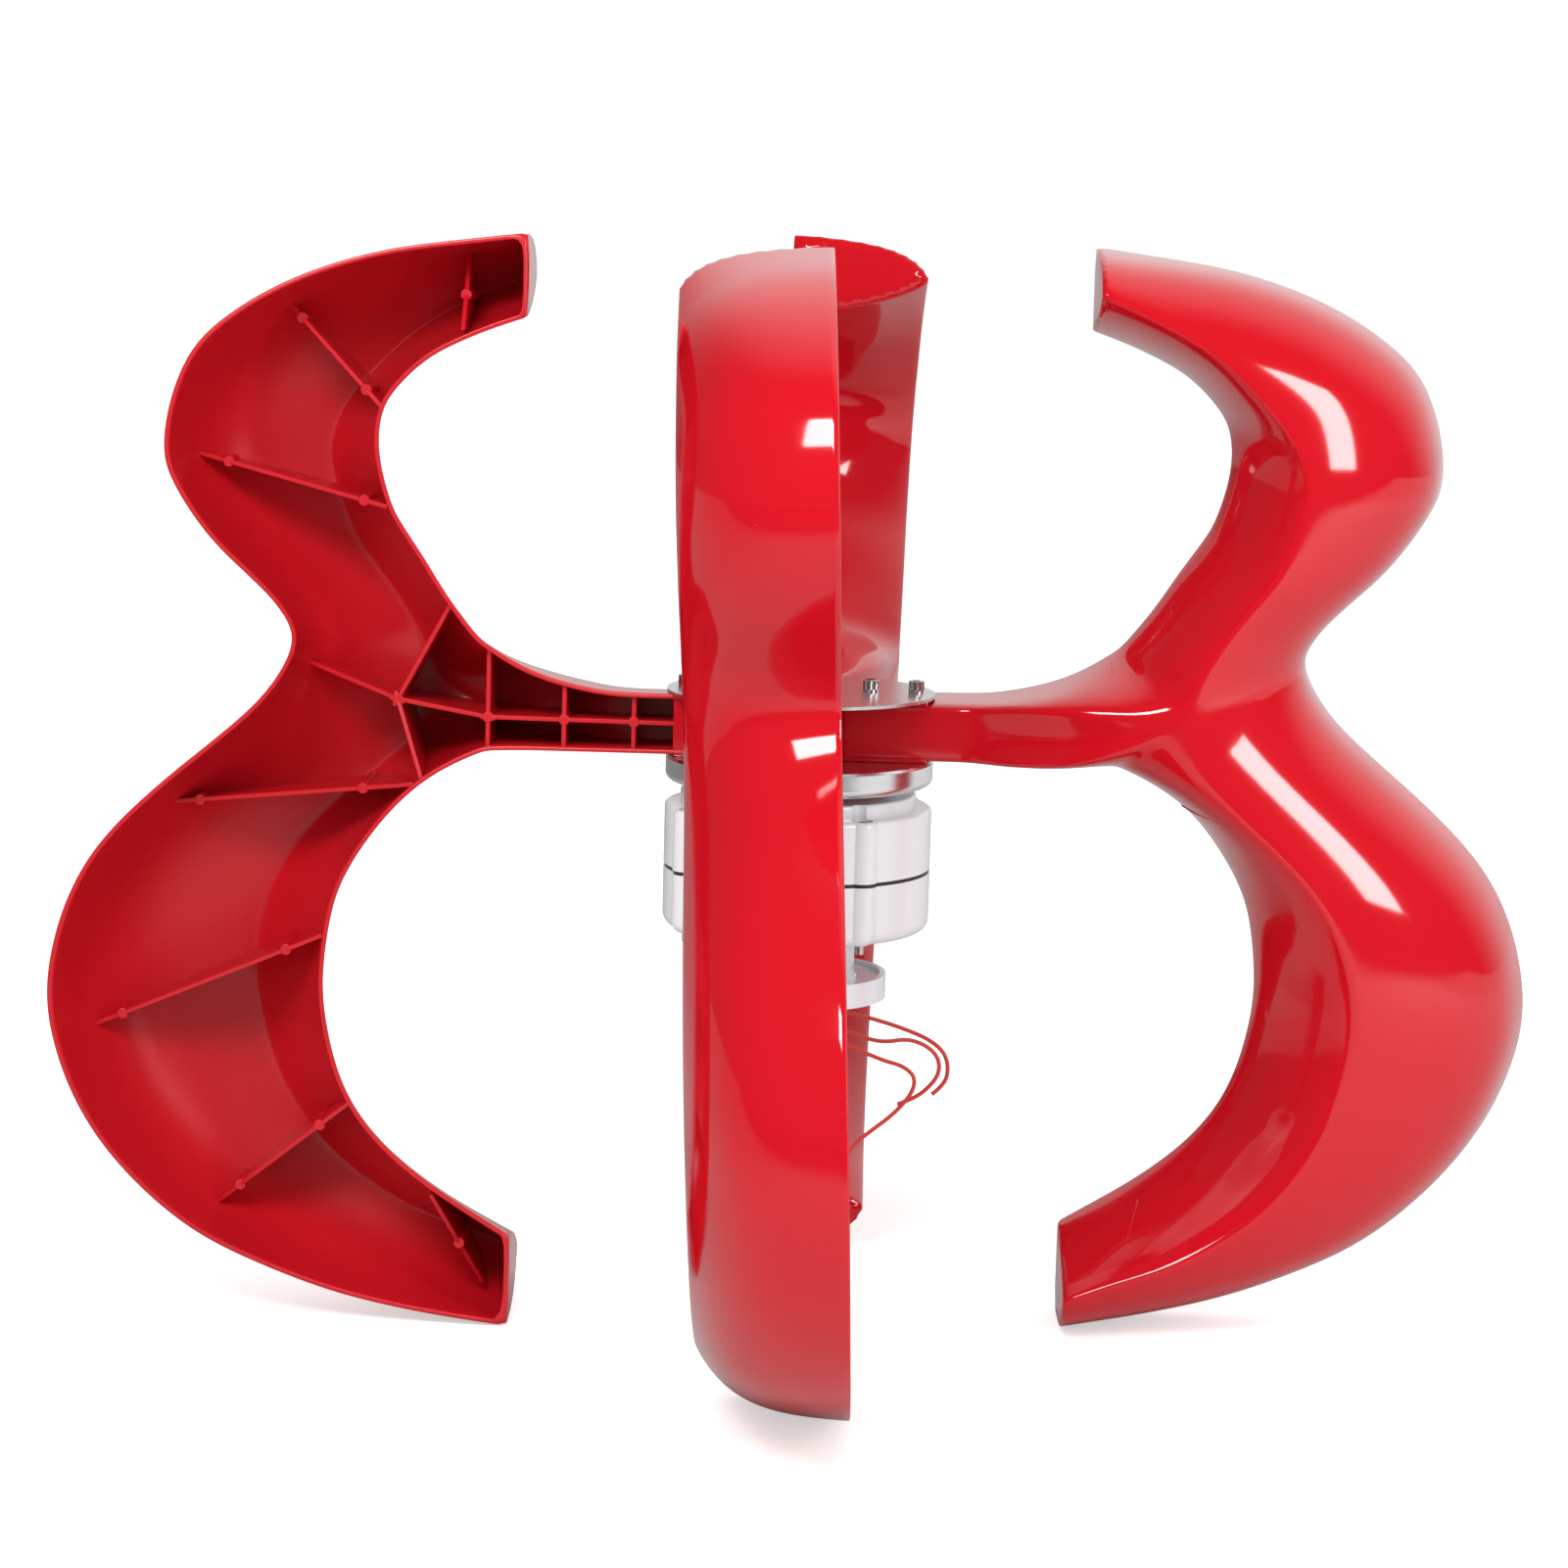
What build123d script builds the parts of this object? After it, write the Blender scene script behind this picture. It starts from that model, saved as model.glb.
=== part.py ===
"""Small lantern-type vertical-axis wind turbine, standing on its lower blade tips.

Frame: millimetres, +Z up, origin on the rotor axis at the level of the lower blade tips.
Each of the four blades is a thin moulded shell, open on the side that faces
anticlockwise seen from above, with two lobes joined by a waist and an arm to the hub.
Blade shapes are drawn in a blade plane: X runs out along the arm, Y runs up, and the
depth runs away from the open rim towards the closed side.
"""
from build123d import *
import os
from math import cos, pi, radians, sin, sqrt, tan

os.makedirs("parts", exist_ok=True)

# ---- blade: outline of the open rim, measured from the rotor axis and the arm's centre line
BLADE_COUNT = 4
TIP_RADIUS = 177.0  # from the axis to the end caps of both lobes
UPPER_RADIUS = 405.0  # widest point of the upper lobe
LOWER_RADIUS = 473.5  # widest point of the lower lobe
BLADE_RISE = 304.5  # upper tip above the arm's centre line
BLADE_DROP = 389.0  # lower tip below the arm's centre line
WAIST_RADIUS = 320.5  # outer edge of the waist between the lobes
WAIST_HEIGHT = 44.0  # height of that point above the arm's centre line
RIDGE_WAIST_RADIUS = 242.0  # closed-side ridge at the waist
RIDGE_WAIST_HEIGHT = 28.0
BLADE_DEPTH = 92.0  # from the open rim to the closed-side ridge
BLADE_WALL = 3.0
RIM_OFFSET = 25.0  # rim plane ahead of the radial plane through the axis
BLADE_LEAN = 2.3  # degrees: each blade's top leans to its closed side
ARM_HEIGHT = 38.0
ARM_DRAFT = 2.0  # taper of the arm's top and bottom towards the closed side
ARM_DEPTH = 50.0  # depth of the arm at its root
ARM_STRAIGHT_RADIUS = 115.0  # the arm's closed face is flat out to this radius

# ---- blade: ribs and root
RIB_WALL = 2.8
RIB_SET_BACK = 5.0  # free edge of a rib below the rim, at the lobe's inner edge
RIB_OUTER_DEPTH = 42.0  # the same at the lobe's outer edge
CAP_PANEL_LENGTH = 36.0  # shallow panel sunk in the upper end cap
CAP_PANEL_HEIGHT = 22.0
CAP_PANEL_SINK = 0.8
CAP_PANEL_DEPTH = 43.0  # centre of the panel, from the open rim
CAP_PANEL_DROP = 22.0  # centre of the panel, below the upper tip
ROOT_INNER_RADIUS = 30.0
ROOT_OUTER_RADIUS = 80.0
ROOT_WIDTH = 50.0
ROOT_HEIGHT = 40.0
ROOT_CORNER = 4.0

# ---- rotor hub
PLATE_DIAMETER = 170.0
PLATE_THICKNESS = 2.0
PLATE_BORE = 40.0
FLANGE_DIAMETER = 170.0
FLANGE_THICKNESS = 16.0
FLANGE_CHAMFER = 1.5
FLANGE_ROUND = 5.0  # round of the flange's lower edge
HUB_DIAMETER = 44.0
HUB_HEIGHT = 12.0  # hub boss above the flange
SCREW_INNER_RADIUS = 44.0  # two clamping screws on each blade's centre line
SCREW_OUTER_RADIUS = 73.0
SCREW_DIAMETER = 6.0
SCREW_HEAD_DIAMETER = 10.0
SCREW_HEAD_HEIGHT = 6.0
SCREW_HEX = 5.0
SCREW_HEX_DEPTH = 3.0
SCREW_ENGAGEMENT = 12.0  # length of the screw inside the flange
SPRING_WASHER_THICKNESS = 1.8
SPRING_WASHER_WIDTH = 1.9
SPRING_WASHER_SPLIT = 1.0

# ---- shaft
SHAFT_THREAD_DIAMETER = 16.0
SHAFT_HUB_DIAMETER = 22.0
SHAFT_THREAD_LENGTH = 18.0
KEY_WIDTH = 6.0
KEY_HEIGHT = 6.0
KEY_LENGTH = 20.0
KEY_SET_UP = 3.0  # foot of the key above the flange's underside
SHAFT_YOKE_DIAMETER = 28.0
LOWER_SHOULDER_DIAMETER = 20.0
SHAFT_SHOULDER_LENGTH = 3.0
NUT_WIDTH = 24.0  # across flats
NUT_HEIGHT = 13.0
NUT_WASHER_DIAMETER = 34.0
NUT_WASHER_THICKNESS = 3.0

# ---- bearings (outer diameter, bore and width are the standard 6205 and 6202 sizes)
UPPER_BEARING_BORE = 25.0
UPPER_BEARING_DIAMETER = 52.0
UPPER_BEARING_WIDTH = 15.0
LOWER_BEARING_BORE = 15.0
LOWER_BEARING_DIAMETER = 35.0
LOWER_BEARING_WIDTH = 11.0
BEARING_RING = 3.6  # radial thickness of the inner and outer rings
BEARING_SHIELD = 1.2  # thickness of the shields that close the bearing
SEAL_DIAMETER = 42.0
SEAL_WIDTH = 7.0
BEARING_WALL = 6.0  # housing wall around the upper bearing
BEARING_LIP_DIAMETER = 34.0  # opening of the lip over the upper bearing
LOWER_BEARING_WALL = 3.0
FLOOR_RECESS = 1.0  # keeps the lower inner ring off the floor
FLOOR_RECESS_DIAMETER = 24.0

# ---- generator
HOUSING_DIAMETER = 170.0
HOUSING_WALL = 12.0
FLANGE_GAP = 5.5  # between the rotor flange and the raised top of the generator
PLATEAU_DIAMETER = 150.0
PLATEAU_HEIGHT = 9.0
PLATEAU_ROUND = 2.0
UPPER_HOUSING_HEIGHT = 38.5
LOWER_HOUSING_HEIGHT = 38.0
SEAM_RING_THICKNESS = 2.4
SEAM_SET_IN = 1.0  # the ring stands back from the housings
TOP_WALL = 7.5
BOTTOM_WALL = 6.0
UPPER_HOUSING_FILLET = 3.0
LOWER_HOUSING_FILLET = 8.0
LOBE_RADIUS = 10.0
LOBE_CIRCLE_RADIUS = 79.0
LOBE_ANGLE = 30.7  # of the first lobe, from +X
LOBE_COUNT = 4
LOBE_COUNTERBORE = 13.5
LOBE_COUNTERBORE_DEPTH = 7.0
HOUSING_SCREW_END = 5.0  # threaded end that stands out below the generator
CORE_HEIGHT = 36.0
CORE_BACK = 8.0  # radial thickness of the core's back iron
TOOTH_COUNT = 12
TOOTH_WIDTH = 12.0
SLOT_OPENING = 4.7
TOOTH_TIP_THICKNESS = 3.0
COIL_THICKNESS = 4.0
COIL_CLEARANCE = 0.4
AIR_GAP = 1.0
MAGNET_COUNT = 10
MAGNET_THICKNESS = 4.0
MAGNET_HEIGHT = 32.0
MAGNET_SPAN = 30.0  # degrees of arc of one magnet
YOKE_DIAMETER = 92.0
YOKE_RIM = 10.0
YOKE_WEB = 12.0
YOKE_HUB_DIAMETER = 44.0

# ---- neck and pole flange
NECK_DIAMETER = 77.0
NECK_BORE = 56.0
NECK_LENGTH = 29.0
POLE_FLANGE_DIAMETER = 118.0
POLE_FLANGE_THICKNESS = 15.5
POLE_FLANGE_RIM = 4.0
POLE_DISH_DEPTH = 2.5
POLE_DISH_DIAMETER = 80.0  # inner edge of the shallow dish round the neck
POLE_HOLE_CIRCLE_RADIUS = 47.0
POLE_HOLE_DIAMETER = 9.0
POLE_HOLE_COUNT = 4
NECK_SCREW_CIRCLE_RADIUS = 33.0
NECK_SCREW_COUNT = 4
NECK_SCREW_SINK = 5.5
NECK_SCREW_DIAMETER = 5.0
NECK_SCREW_LENGTH = 28.0
NECK_SCREW_HEAD_DIAMETER = 8.5
NECK_SCREW_HEAD_HEIGHT = 5.0
GROMMET_THICKNESS = 8.0

# ---- leads
LEAD_DIAMETER = 2.7
LEAD_COUNT = 3
LEAD_ANGLE = 90.0  # of the first inner lead, from +X
BEND_SHARE = 0.45  # share of the shorter run that a bend takes up
LARGEST_BEND = 400.0
LEAD_BEND = 8.1  # smallest bend of the leads inside the generator
LEAD_PASSAGE_DIAMETER = 9.0
LEAD_PASSAGE_RADIUS = 25.5
LEAD_CIRCLE_RADIUS = 24.2  # of the leads where they run down the neck

# ---- fits
SEAT_GAP = 0.02  # radial gap of pressed and sliding seats
RUNNING_GAP = 0.5  # between turning and fixed parts
CLEARANCE_HOLE = 0.6  # a clearance hole is this much wider than its screw

# ---- heights worked out from the sizes above
ARM_Z = BLADE_DROP * cos(radians(BLADE_LEAN)) - RIM_OFFSET * sin(radians(BLADE_LEAN))
ROOT_TOP = ARM_Z + ROOT_HEIGHT / 2
PLATE_TOP = ROOT_TOP + PLATE_THICKNESS
FLANGE_TOP = ARM_Z - ROOT_HEIGHT / 2
FLANGE_BOTTOM = FLANGE_TOP - FLANGE_THICKNESS
HUB_TOP = FLANGE_TOP + HUB_HEIGHT
PLATEAU_TOP = FLANGE_BOTTOM - FLANGE_GAP
SHOULDER = PLATEAU_TOP - PLATEAU_HEIGHT
SEAM_TOP = SHOULDER - UPPER_HOUSING_HEIGHT
SEAM_BOTTOM = SEAM_TOP - SEAM_RING_THICKNESS
HOUSING_BOTTOM = SEAM_BOTTOM - LOWER_HOUSING_HEIGHT
NECK_BOTTOM = HOUSING_BOTTOM - NECK_LENGTH
POLE_BOTTOM = NECK_BOTTOM - POLE_FLANGE_THICKNESS
CORE_CENTRE = (SEAM_TOP + SEAM_BOTTOM) / 2
HOUSING_INNER_RADIUS = HOUSING_DIAMETER / 2 - HOUSING_WALL

print(f"arm centre {ARM_Z:.2f}, plate top {PLATE_TOP:.2f}, pole flange bottom {POLE_BOTTOM:.2f}")


# ================================================================ blade
def upper(across, up):
    """A point of the upper lobe: across 0 at the tip radius and 1 at the widest radius."""
    return (TIP_RADIUS + across * (UPPER_RADIUS - TIP_RADIUS), up * BLADE_RISE)


def lower(across, down):
    """A point of the lower lobe, in the same way."""
    return (TIP_RADIUS + across * (LOWER_RADIUS - TIP_RADIUS), -down * BLADE_DROP)


def arm(radius, rise, draft):
    """A point on the arm's edge: rise is +1 or more on top and -1 below."""
    return (radius, rise * (ARM_HEIGHT / 2 - draft))


# Each row is a point of the rim and the point of the ridge that it runs to.
OUTER_EDGE = [
    (upper(0, 1), upper(0, 0.923)),
    (upper(0.303, 0.969), upper(0.197, 0.857)),
    (upper(0.621, 0.902), upper(0.373, 0.768)),
    (upper(0.925, 0.739), upper(0.535, 0.634)),
    (upper(1, 0.575), upper(0.579, 0.558)),
    (upper(0.883, 0.38), upper(0.518, 0.381)),
    (upper(0.722, 0.262), upper(0.399, 0.256)),
    ((WAIST_RADIUS, WAIST_HEIGHT), (RIDGE_WAIST_RADIUS, RIDGE_WAIST_HEIGHT)),
    (lower(0.56, -0.015), lower(0.253, 0.031)),
    (lower(0.709, 0.083), lower(0.374, 0.131)),
    (lower(0.847, 0.181), lower(0.476, 0.206)),
    (lower(0.941, 0.279), lower(0.557, 0.298)),
    (lower(1, 0.452), lower(0.6, 0.432)),
    (lower(0.976, 0.57), lower(0.587, 0.514)),
    (lower(0.921, 0.666), lower(0.56, 0.591)),
    (lower(0.828, 0.762), lower(0.509, 0.673)),
    (lower(0.671, 0.857), lower(0.415, 0.763)),
    (lower(0.407, 0.943), lower(0.246, 0.848)),
    (lower(0.153, 0.986), lower(0.094, 0.892)),
    (lower(0, 1), lower(0, 0.918)),
]
INNER_LOWER_EDGE = [
    (lower(0, 0.848), lower(0, 0.918)),
    (lower(0.073, 0.814), lower(0.128, 0.882)),
    (lower(0.2, 0.751), lower(0.32, 0.815)),
    (lower(0.298, 0.681), lower(0.462, 0.72)),
    (lower(0.363, 0.604), lower(0.55, 0.607)),
    (lower(0.395, 0.527), lower(0.587, 0.514)),
    (lower(0.41, 0.437), lower(0.6, 0.429)),
    (lower(0.383, 0.295), lower(0.547, 0.283)),
    (lower(0.334, 0.217), lower(0.469, 0.2)),
    (lower(0.253, 0.139), lower(0.368, 0.126)),
    (lower(0.185, 0.095), lower(0.287, 0.069)),
    (lower(0.111, 0.064), lower(0.2, 0.021)),
    (arm(185, -1.03, 0), arm(200, -1, ARM_DRAFT)),
    (arm(150, -1, 0), arm(155, -1, ARM_DRAFT)),
    (arm(ARM_STRAIGHT_RADIUS, -1, 0), arm(ARM_STRAIGHT_RADIUS, -1, ARM_DRAFT)),
]
INNER_UPPER_EDGE = [
    (arm(ARM_STRAIGHT_RADIUS, 1.05, 0), arm(ARM_STRAIGHT_RADIUS, 1, ARM_DRAFT)),
    (arm(149, 1.3, 0), arm(155, 1.03, ARM_DRAFT)),
    (upper(-0.013, 0.108), upper(0.1, 0.066)),
    (upper(0.096, 0.161), upper(0.259, 0.105)),
    (upper(0.206, 0.258), upper(0.346, 0.197)),
    (upper(0.272, 0.333), upper(0.417, 0.276)),
    (upper(0.33, 0.396), upper(0.5, 0.358)),
    (upper(0.374, 0.46), upper(0.557, 0.466)),
    (upper(0.401, 0.575), upper(0.579, 0.565)),
    (upper(0.376, 0.652), upper(0.513, 0.663)),
    (upper(0.297, 0.721), upper(0.39, 0.755)),
    (upper(0.191, 0.771), upper(0.259, 0.828)),
    (upper(0.085, 0.805), upper(0.123, 0.885)),
    (upper(0, 0.828), upper(0, 0.923)),
]
SECTION_DEPTHS = (0, 0.26, 0.5, 0.71, 0.87, 0.97, 1)  # shares of the depth
RIDGE_ROUNDING = 0.94  # the last section stops this far towards the ridge


def moved(start, end, distance):
    """The point at a distance from start towards end."""
    way = Vector(*end) - Vector(*start)
    return Vector(*start) + way.normalized() * distance


def outer_share(depth):
    """How far the outer wall has come in at a share of the depth: nearly a quarter ellipse."""
    return RIDGE_ROUNDING * (0.12 * depth + 0.88 * (1 - sqrt(1 - depth**2)))


def inner_share(depth):
    """The same for the inner wall, which is nearly straight."""
    return RIDGE_ROUNDING * depth


def section_points(edge, share, wall, ridge_shift):
    """Points of one edge of a section, moved in from the rim by the wall."""
    points = []
    for rim, ridge in edge:
        start = moved(rim, ridge, wall)
        end = moved(ridge, rim, ridge_shift)
        points.append(start + (end - start) * share)
    return points


def blade_form(depth, wall, root_radius):
    """The solid that the blade's skin encloses; with a wall, the hollow inside it."""
    with BuildPart() as form:
        for share in SECTION_DEPTHS:
            outer = section_points(OUTER_EDGE, outer_share(share), wall, wall)
            inner_low = section_points(INNER_LOWER_EDGE, inner_share(share), wall, -wall)
            inner_up = section_points(INNER_UPPER_EDGE, inner_share(share), wall, -wall)
            for edge, end in ((outer, 0), (outer, -1), (inner_low, 0), (inner_up, -1)):
                edge[end] += Vector(wall, 0)
            with BuildSketch(Plane.XY.offset(share * depth)):
                with BuildLine():
                    Spline(*outer)
                    Line(outer[-1], inner_low[0])
                    Spline(*inner_low)
                    low_root = (root_radius, inner_low[-1].Y)
                    up_root = (root_radius, inner_up[0].Y)
                    Polyline(inner_low[-1], low_root, up_root, inner_up[0])
                    Spline(*inner_up)
                    Line(inner_up[-1], outer[0])
                make_face()
        loft(ruled=True)
    return form.part


def arm_relief(wall):
    """What lies past the arm's closed face: flat at the root, rising to the ridge at the waist."""
    deep = BLADE_DEPTH + 1
    with BuildPart() as relief:
        with BuildSketch(Plane.XZ):
            with BuildLine():
                start = (ARM_STRAIGHT_RADIUS, ARM_DEPTH - wall)
                end = (RIDGE_WAIST_RADIUS, BLADE_DEPTH - wall)
                Line((0, ARM_DEPTH - wall), start)
                Spline(start, end, tangents=((1, 0), (1, 0.25)))
                Polyline(end, (RIDGE_WAIST_RADIUS, deep), (0, deep), (0, ARM_DEPTH - wall))
            make_face()
        extrude(amount=ARM_HEIGHT * 2, both=True)
    return relief.part


def rib(start, end, start_depth, end_depth):
    """A plate from start to end with a sloping free edge, long enough to reach the walls."""
    way = (Vector(*end) - Vector(*start)).normalized()
    length = (Vector(*end) - Vector(*start)).length
    slope = (end_depth - start_depth) / length
    reach = 2 * BLADE_WALL
    side = Plane(origin=(*start, 0), x_dir=way, z_dir=way.cross(Vector(0, 0, 1)))
    with BuildPart() as plate:
        with BuildSketch(side):
            with BuildLine():
                Polyline(
                    (-reach, start_depth - slope * reach),
                    (length + reach, end_depth + slope * reach),
                    (length + reach, BLADE_DEPTH + reach),
                    (-reach, BLADE_DEPTH + reach),
                    close=True,
                )
            make_face()
        extrude(amount=RIB_WALL / 2, both=True)
    return plate.part


WAIST_NODE = (255.0, 10.0)
ARM_STATIONS = (105.0, 149.0, 197.0)  # cross ribs of the arm
# inner and outer end of each rib across a lobe
LOBE_RIBS = [
    (upper(0.175, 0.815), upper(0.175, 0.94)),
    (upper(0.4, 0.64), upper(0.675, 0.846)),
    (upper(0.376, 0.432), upper(0.925, 0.53)),
    (lower(0.24, 0.112), lower(0.755, 0.16)),
    (lower(0.428, 0.367), lower(0.925, 0.537)),
    (lower(0.36, 0.644), lower(0.65, 0.83)),
    (lower(0.163, 0.798), lower(0.073, 0.943)),
]


def blade_ribs():
    """All ribs of one blade, in the blade plane."""
    for inner, outer in LOBE_RIBS:
        yield rib(inner, outer, RIB_SET_BACK, RIB_OUTER_DEPTH)
    node_depth = 3 * RIB_SET_BACK
    waist_edge = (WAIST_RADIUS - 2 * BLADE_WALL, 0.68 * WAIST_HEIGHT)
    arm_end = (ARM_STATIONS[-1], 1.0)
    yield rib(WAIST_NODE, waist_edge, node_depth, RIB_OUTER_DEPTH)
    yield rib(WAIST_NODE, upper(0.204, 0.224), node_depth, RIB_SET_BACK)
    yield rib(WAIST_NODE, lower(0.21, 0.094), node_depth, RIB_SET_BACK)
    yield rib(WAIST_NODE, arm_end, node_depth, RIB_SET_BACK)
    yield rib(arm_end, (ROOT_OUTER_RADIUS, 0.0), RIB_SET_BACK, RIB_SET_BACK)
    for station in ARM_STATIONS:
        low = (station, -ARM_HEIGHT)
        high = (station, ARM_HEIGHT)
        yield rib(low, high, RIB_SET_BACK, RIB_SET_BACK)


# the blade plane of the blade on +X: depth runs towards -Y, tilted by the lean
lean = radians(BLADE_LEAN)
open_way = Vector(0, cos(lean), sin(lean))
BLADE_PLANE = Plane(
    origin=Vector(0, 0, ARM_Z) + open_way * RIM_OFFSET, x_dir=(1, 0, 0), z_dir=-open_way
)

skin = blade_form(BLADE_DEPTH, 0, ROOT_OUTER_RADIUS - 2 * BLADE_WALL) - arm_relief(0)
hollow = blade_form(BLADE_DEPTH - BLADE_WALL, BLADE_WALL, ROOT_OUTER_RADIUS)
hollow = hollow - arm_relief(BLADE_WALL)
with BuildPart() as cavity:
    add(hollow)
    add(list(blade_ribs()), mode=Mode.SUBTRACT)
shell = skin - cavity.part

with BuildPart() as blade:
    add(BLADE_PLANE.from_local_coords(shell))
    with BuildSketch(Plane.XY.offset(FLANGE_TOP)) as root_outline:
        with Locations(((ROOT_INNER_RADIUS + ROOT_OUTER_RADIUS) / 2, 0)):
            Rectangle(ROOT_OUTER_RADIUS - ROOT_INNER_RADIUS, ROOT_WIDTH)
        fillet(root_outline.vertices().group_by(Axis.X)[0], ROOT_CORNER)
    extrude(amount=ROOT_HEIGHT)
    cap = Plane(
        origin=(TIP_RADIUS, BLADE_RISE - CAP_PANEL_DROP, CAP_PANEL_DEPTH),
        x_dir=(0, 0, 1), z_dir=(-1, 0, 0),
    )
    with Locations(BLADE_PLANE.location * cap.location):
        Box(CAP_PANEL_LENGTH, CAP_PANEL_HEIGHT, 2 * CAP_PANEL_SINK, mode=Mode.SUBTRACT)
    with Locations(*[(radius, 0, ROOT_TOP) for radius in (SCREW_INNER_RADIUS, SCREW_OUTER_RADIUS)]):
        Hole((SCREW_DIAMETER + CLEARANCE_HOLE) / 2, ROOT_HEIGHT)
    # seat of the top plate
    with BuildSketch(Plane.XY.offset(ROOT_TOP)):
        Circle(PLATE_DIAMETER / 2 + RUNNING_GAP)
    extrude(amount=ROOT_HEIGHT / 2, mode=Mode.SUBTRACT)
blade_copies = [blade.part.rotate(Axis.Z, 360 / BLADE_COUNT * n) for n in range(BLADE_COUNT)]


# ================================================================ shared helpers
def turned(*profile):
    """A solid of revolution about the rotor axis from (radius, height) corners."""
    with BuildPart() as body:
        with BuildSketch(Plane.XZ):
            with BuildLine():
                Polyline(*profile, close=True)
            make_face()
        revolve(axis=Axis.Z)
    return body.part


def ring(outer_radius, inner_radius, bottom, top):
    """A plain ring about the rotor axis."""
    return turned(
        (inner_radius, bottom), (outer_radius, bottom), (outer_radius, top), (inner_radius, top)
    )


def polar(radius, count, start=0.0):
    """Places on a circle about the rotor axis."""
    return PolarLocations(radius, count, start_angle=start)


def posts(places, diameter, bottom, top):
    """Upright round posts at places in plan."""
    with BuildPart() as group:
        with BuildSketch(Plane.XY.offset(bottom)):
            with places:
                Circle(diameter / 2)
        extrude(amount=top - bottom)
    return group.part


def socket_screws(places, head_bottom, end, diameter, head_diameter, head_height):
    """Socket-head cap screws that stand upright, with the head above head_bottom."""
    sign = 1 if end < head_bottom else -1
    head_end = head_bottom + sign * head_height
    with BuildPart() as group:
        with BuildSketch(Plane.XY.offset(min(head_bottom, head_end))):
            with places:
                Circle(head_diameter / 2)
        extrude(amount=head_height)
        with BuildSketch(Plane.XY.offset(min(head_bottom, end))):
            with places:
                Circle(diameter / 2)
        extrude(amount=abs(head_bottom - end))
        with BuildSketch(Plane.XY.offset(head_end)):
            with places:
                RegularPolygon(diameter * SCREW_HEX / SCREW_DIAMETER / 2, 6, major_radius=False)
        extrude(amount=-sign * head_height * SCREW_HEX_DEPTH / SCREW_HEAD_HEIGHT,
                mode=Mode.SUBTRACT)
    return group.part


def clamp_places():
    """Plan places of the eight screws that clamp the blade roots."""
    places = []
    for number in range(BLADE_COUNT):
        for radius in (SCREW_INNER_RADIUS, SCREW_OUTER_RADIUS):
            place = Vector(radius, 0).rotate(Axis.Z, 360 / BLADE_COUNT * number)
            places.append((place.X, place.Y))
    return Locations(*places)


# ================================================================ rotor hub
TAPPED_DIAMETER = SCREW_DIAMETER + 2 * SEAT_GAP
CLEAR_DIAMETER = SCREW_DIAMETER + CLEARANCE_HOLE
SCREW_SEAT = PLATE_TOP + SPRING_WASHER_THICKNESS

top_plate = ring(PLATE_DIAMETER / 2, PLATE_BORE / 2, ROOT_TOP, PLATE_TOP)
top_plate -= posts(clamp_places(), CLEAR_DIAMETER, ROOT_TOP - 1, PLATE_TOP + 1)

with BuildPart() as hub_body:
    with BuildSketch(Plane.XY.offset(FLANGE_BOTTOM)):
        Circle(FLANGE_DIAMETER / 2)
    extrude(amount=FLANGE_THICKNESS)
    chamfer(hub_body.edges().group_by(Axis.Z)[-1], FLANGE_CHAMFER)
    fillet(hub_body.edges().group_by(Axis.Z)[0], FLANGE_ROUND)
    with BuildSketch(Plane.XY.offset(FLANGE_TOP)):
        Circle(HUB_DIAMETER / 2)
    extrude(amount=HUB_HEIGHT)
    with BuildSketch(Plane.XY.offset(FLANGE_BOTTOM)):
        Circle(SHAFT_HUB_DIAMETER / 2 + SEAT_GAP)
        with Locations((SHAFT_HUB_DIAMETER / 2, 0)):
            Rectangle(KEY_HEIGHT, KEY_WIDTH + 2 * SEAT_GAP)
    extrude(amount=FLANGE_THICKNESS + HUB_HEIGHT, mode=Mode.SUBTRACT)
hub_flange = hub_body.part - posts(clamp_places(), TAPPED_DIAMETER, FLANGE_BOTTOM - 1,
                                   FLANGE_TOP + 1)

blade_screws = socket_screws(
    clamp_places(), SCREW_SEAT, FLANGE_TOP - SCREW_ENGAGEMENT,
    SCREW_DIAMETER, SCREW_HEAD_DIAMETER, SCREW_HEAD_HEIGHT,
)
with BuildPart() as washer_body:
    with BuildSketch(Plane.XY.offset(PLATE_TOP)):
        with clamp_places():
            Circle(SCREW_HEAD_DIAMETER / 2)
            Circle(SCREW_DIAMETER / 2 + SEAT_GAP, mode=Mode.SUBTRACT)
            with Locations((SCREW_HEAD_DIAMETER / 2, 0)):
                Rectangle(SCREW_HEAD_DIAMETER, SPRING_WASHER_SPLIT, mode=Mode.SUBTRACT)
    extrude(amount=SPRING_WASHER_THICKNESS)
spring_washers = washer_body.part

# ================================================================ shaft
SHAFT_HUB_TOP = HUB_TOP - RUNNING_GAP  # the washer clamps the hub, not the shaft
UPPER_BEARING_TOP = SHOULDER
UPPER_BEARING_BOTTOM = UPPER_BEARING_TOP - UPPER_BEARING_WIDTH
FLOOR_TOP = HOUSING_BOTTOM + BOTTOM_WALL
LOWER_BEARING_TOP = FLOOR_TOP + LOWER_BEARING_WIDTH
YOKE_RADIUS = YOKE_DIAMETER / 2
SHAFT_YOKE_RADIUS = SHAFT_YOKE_DIAMETER / 2
SHAFT_THREAD_TOP = SHAFT_HUB_TOP + SHAFT_THREAD_LENGTH

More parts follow.
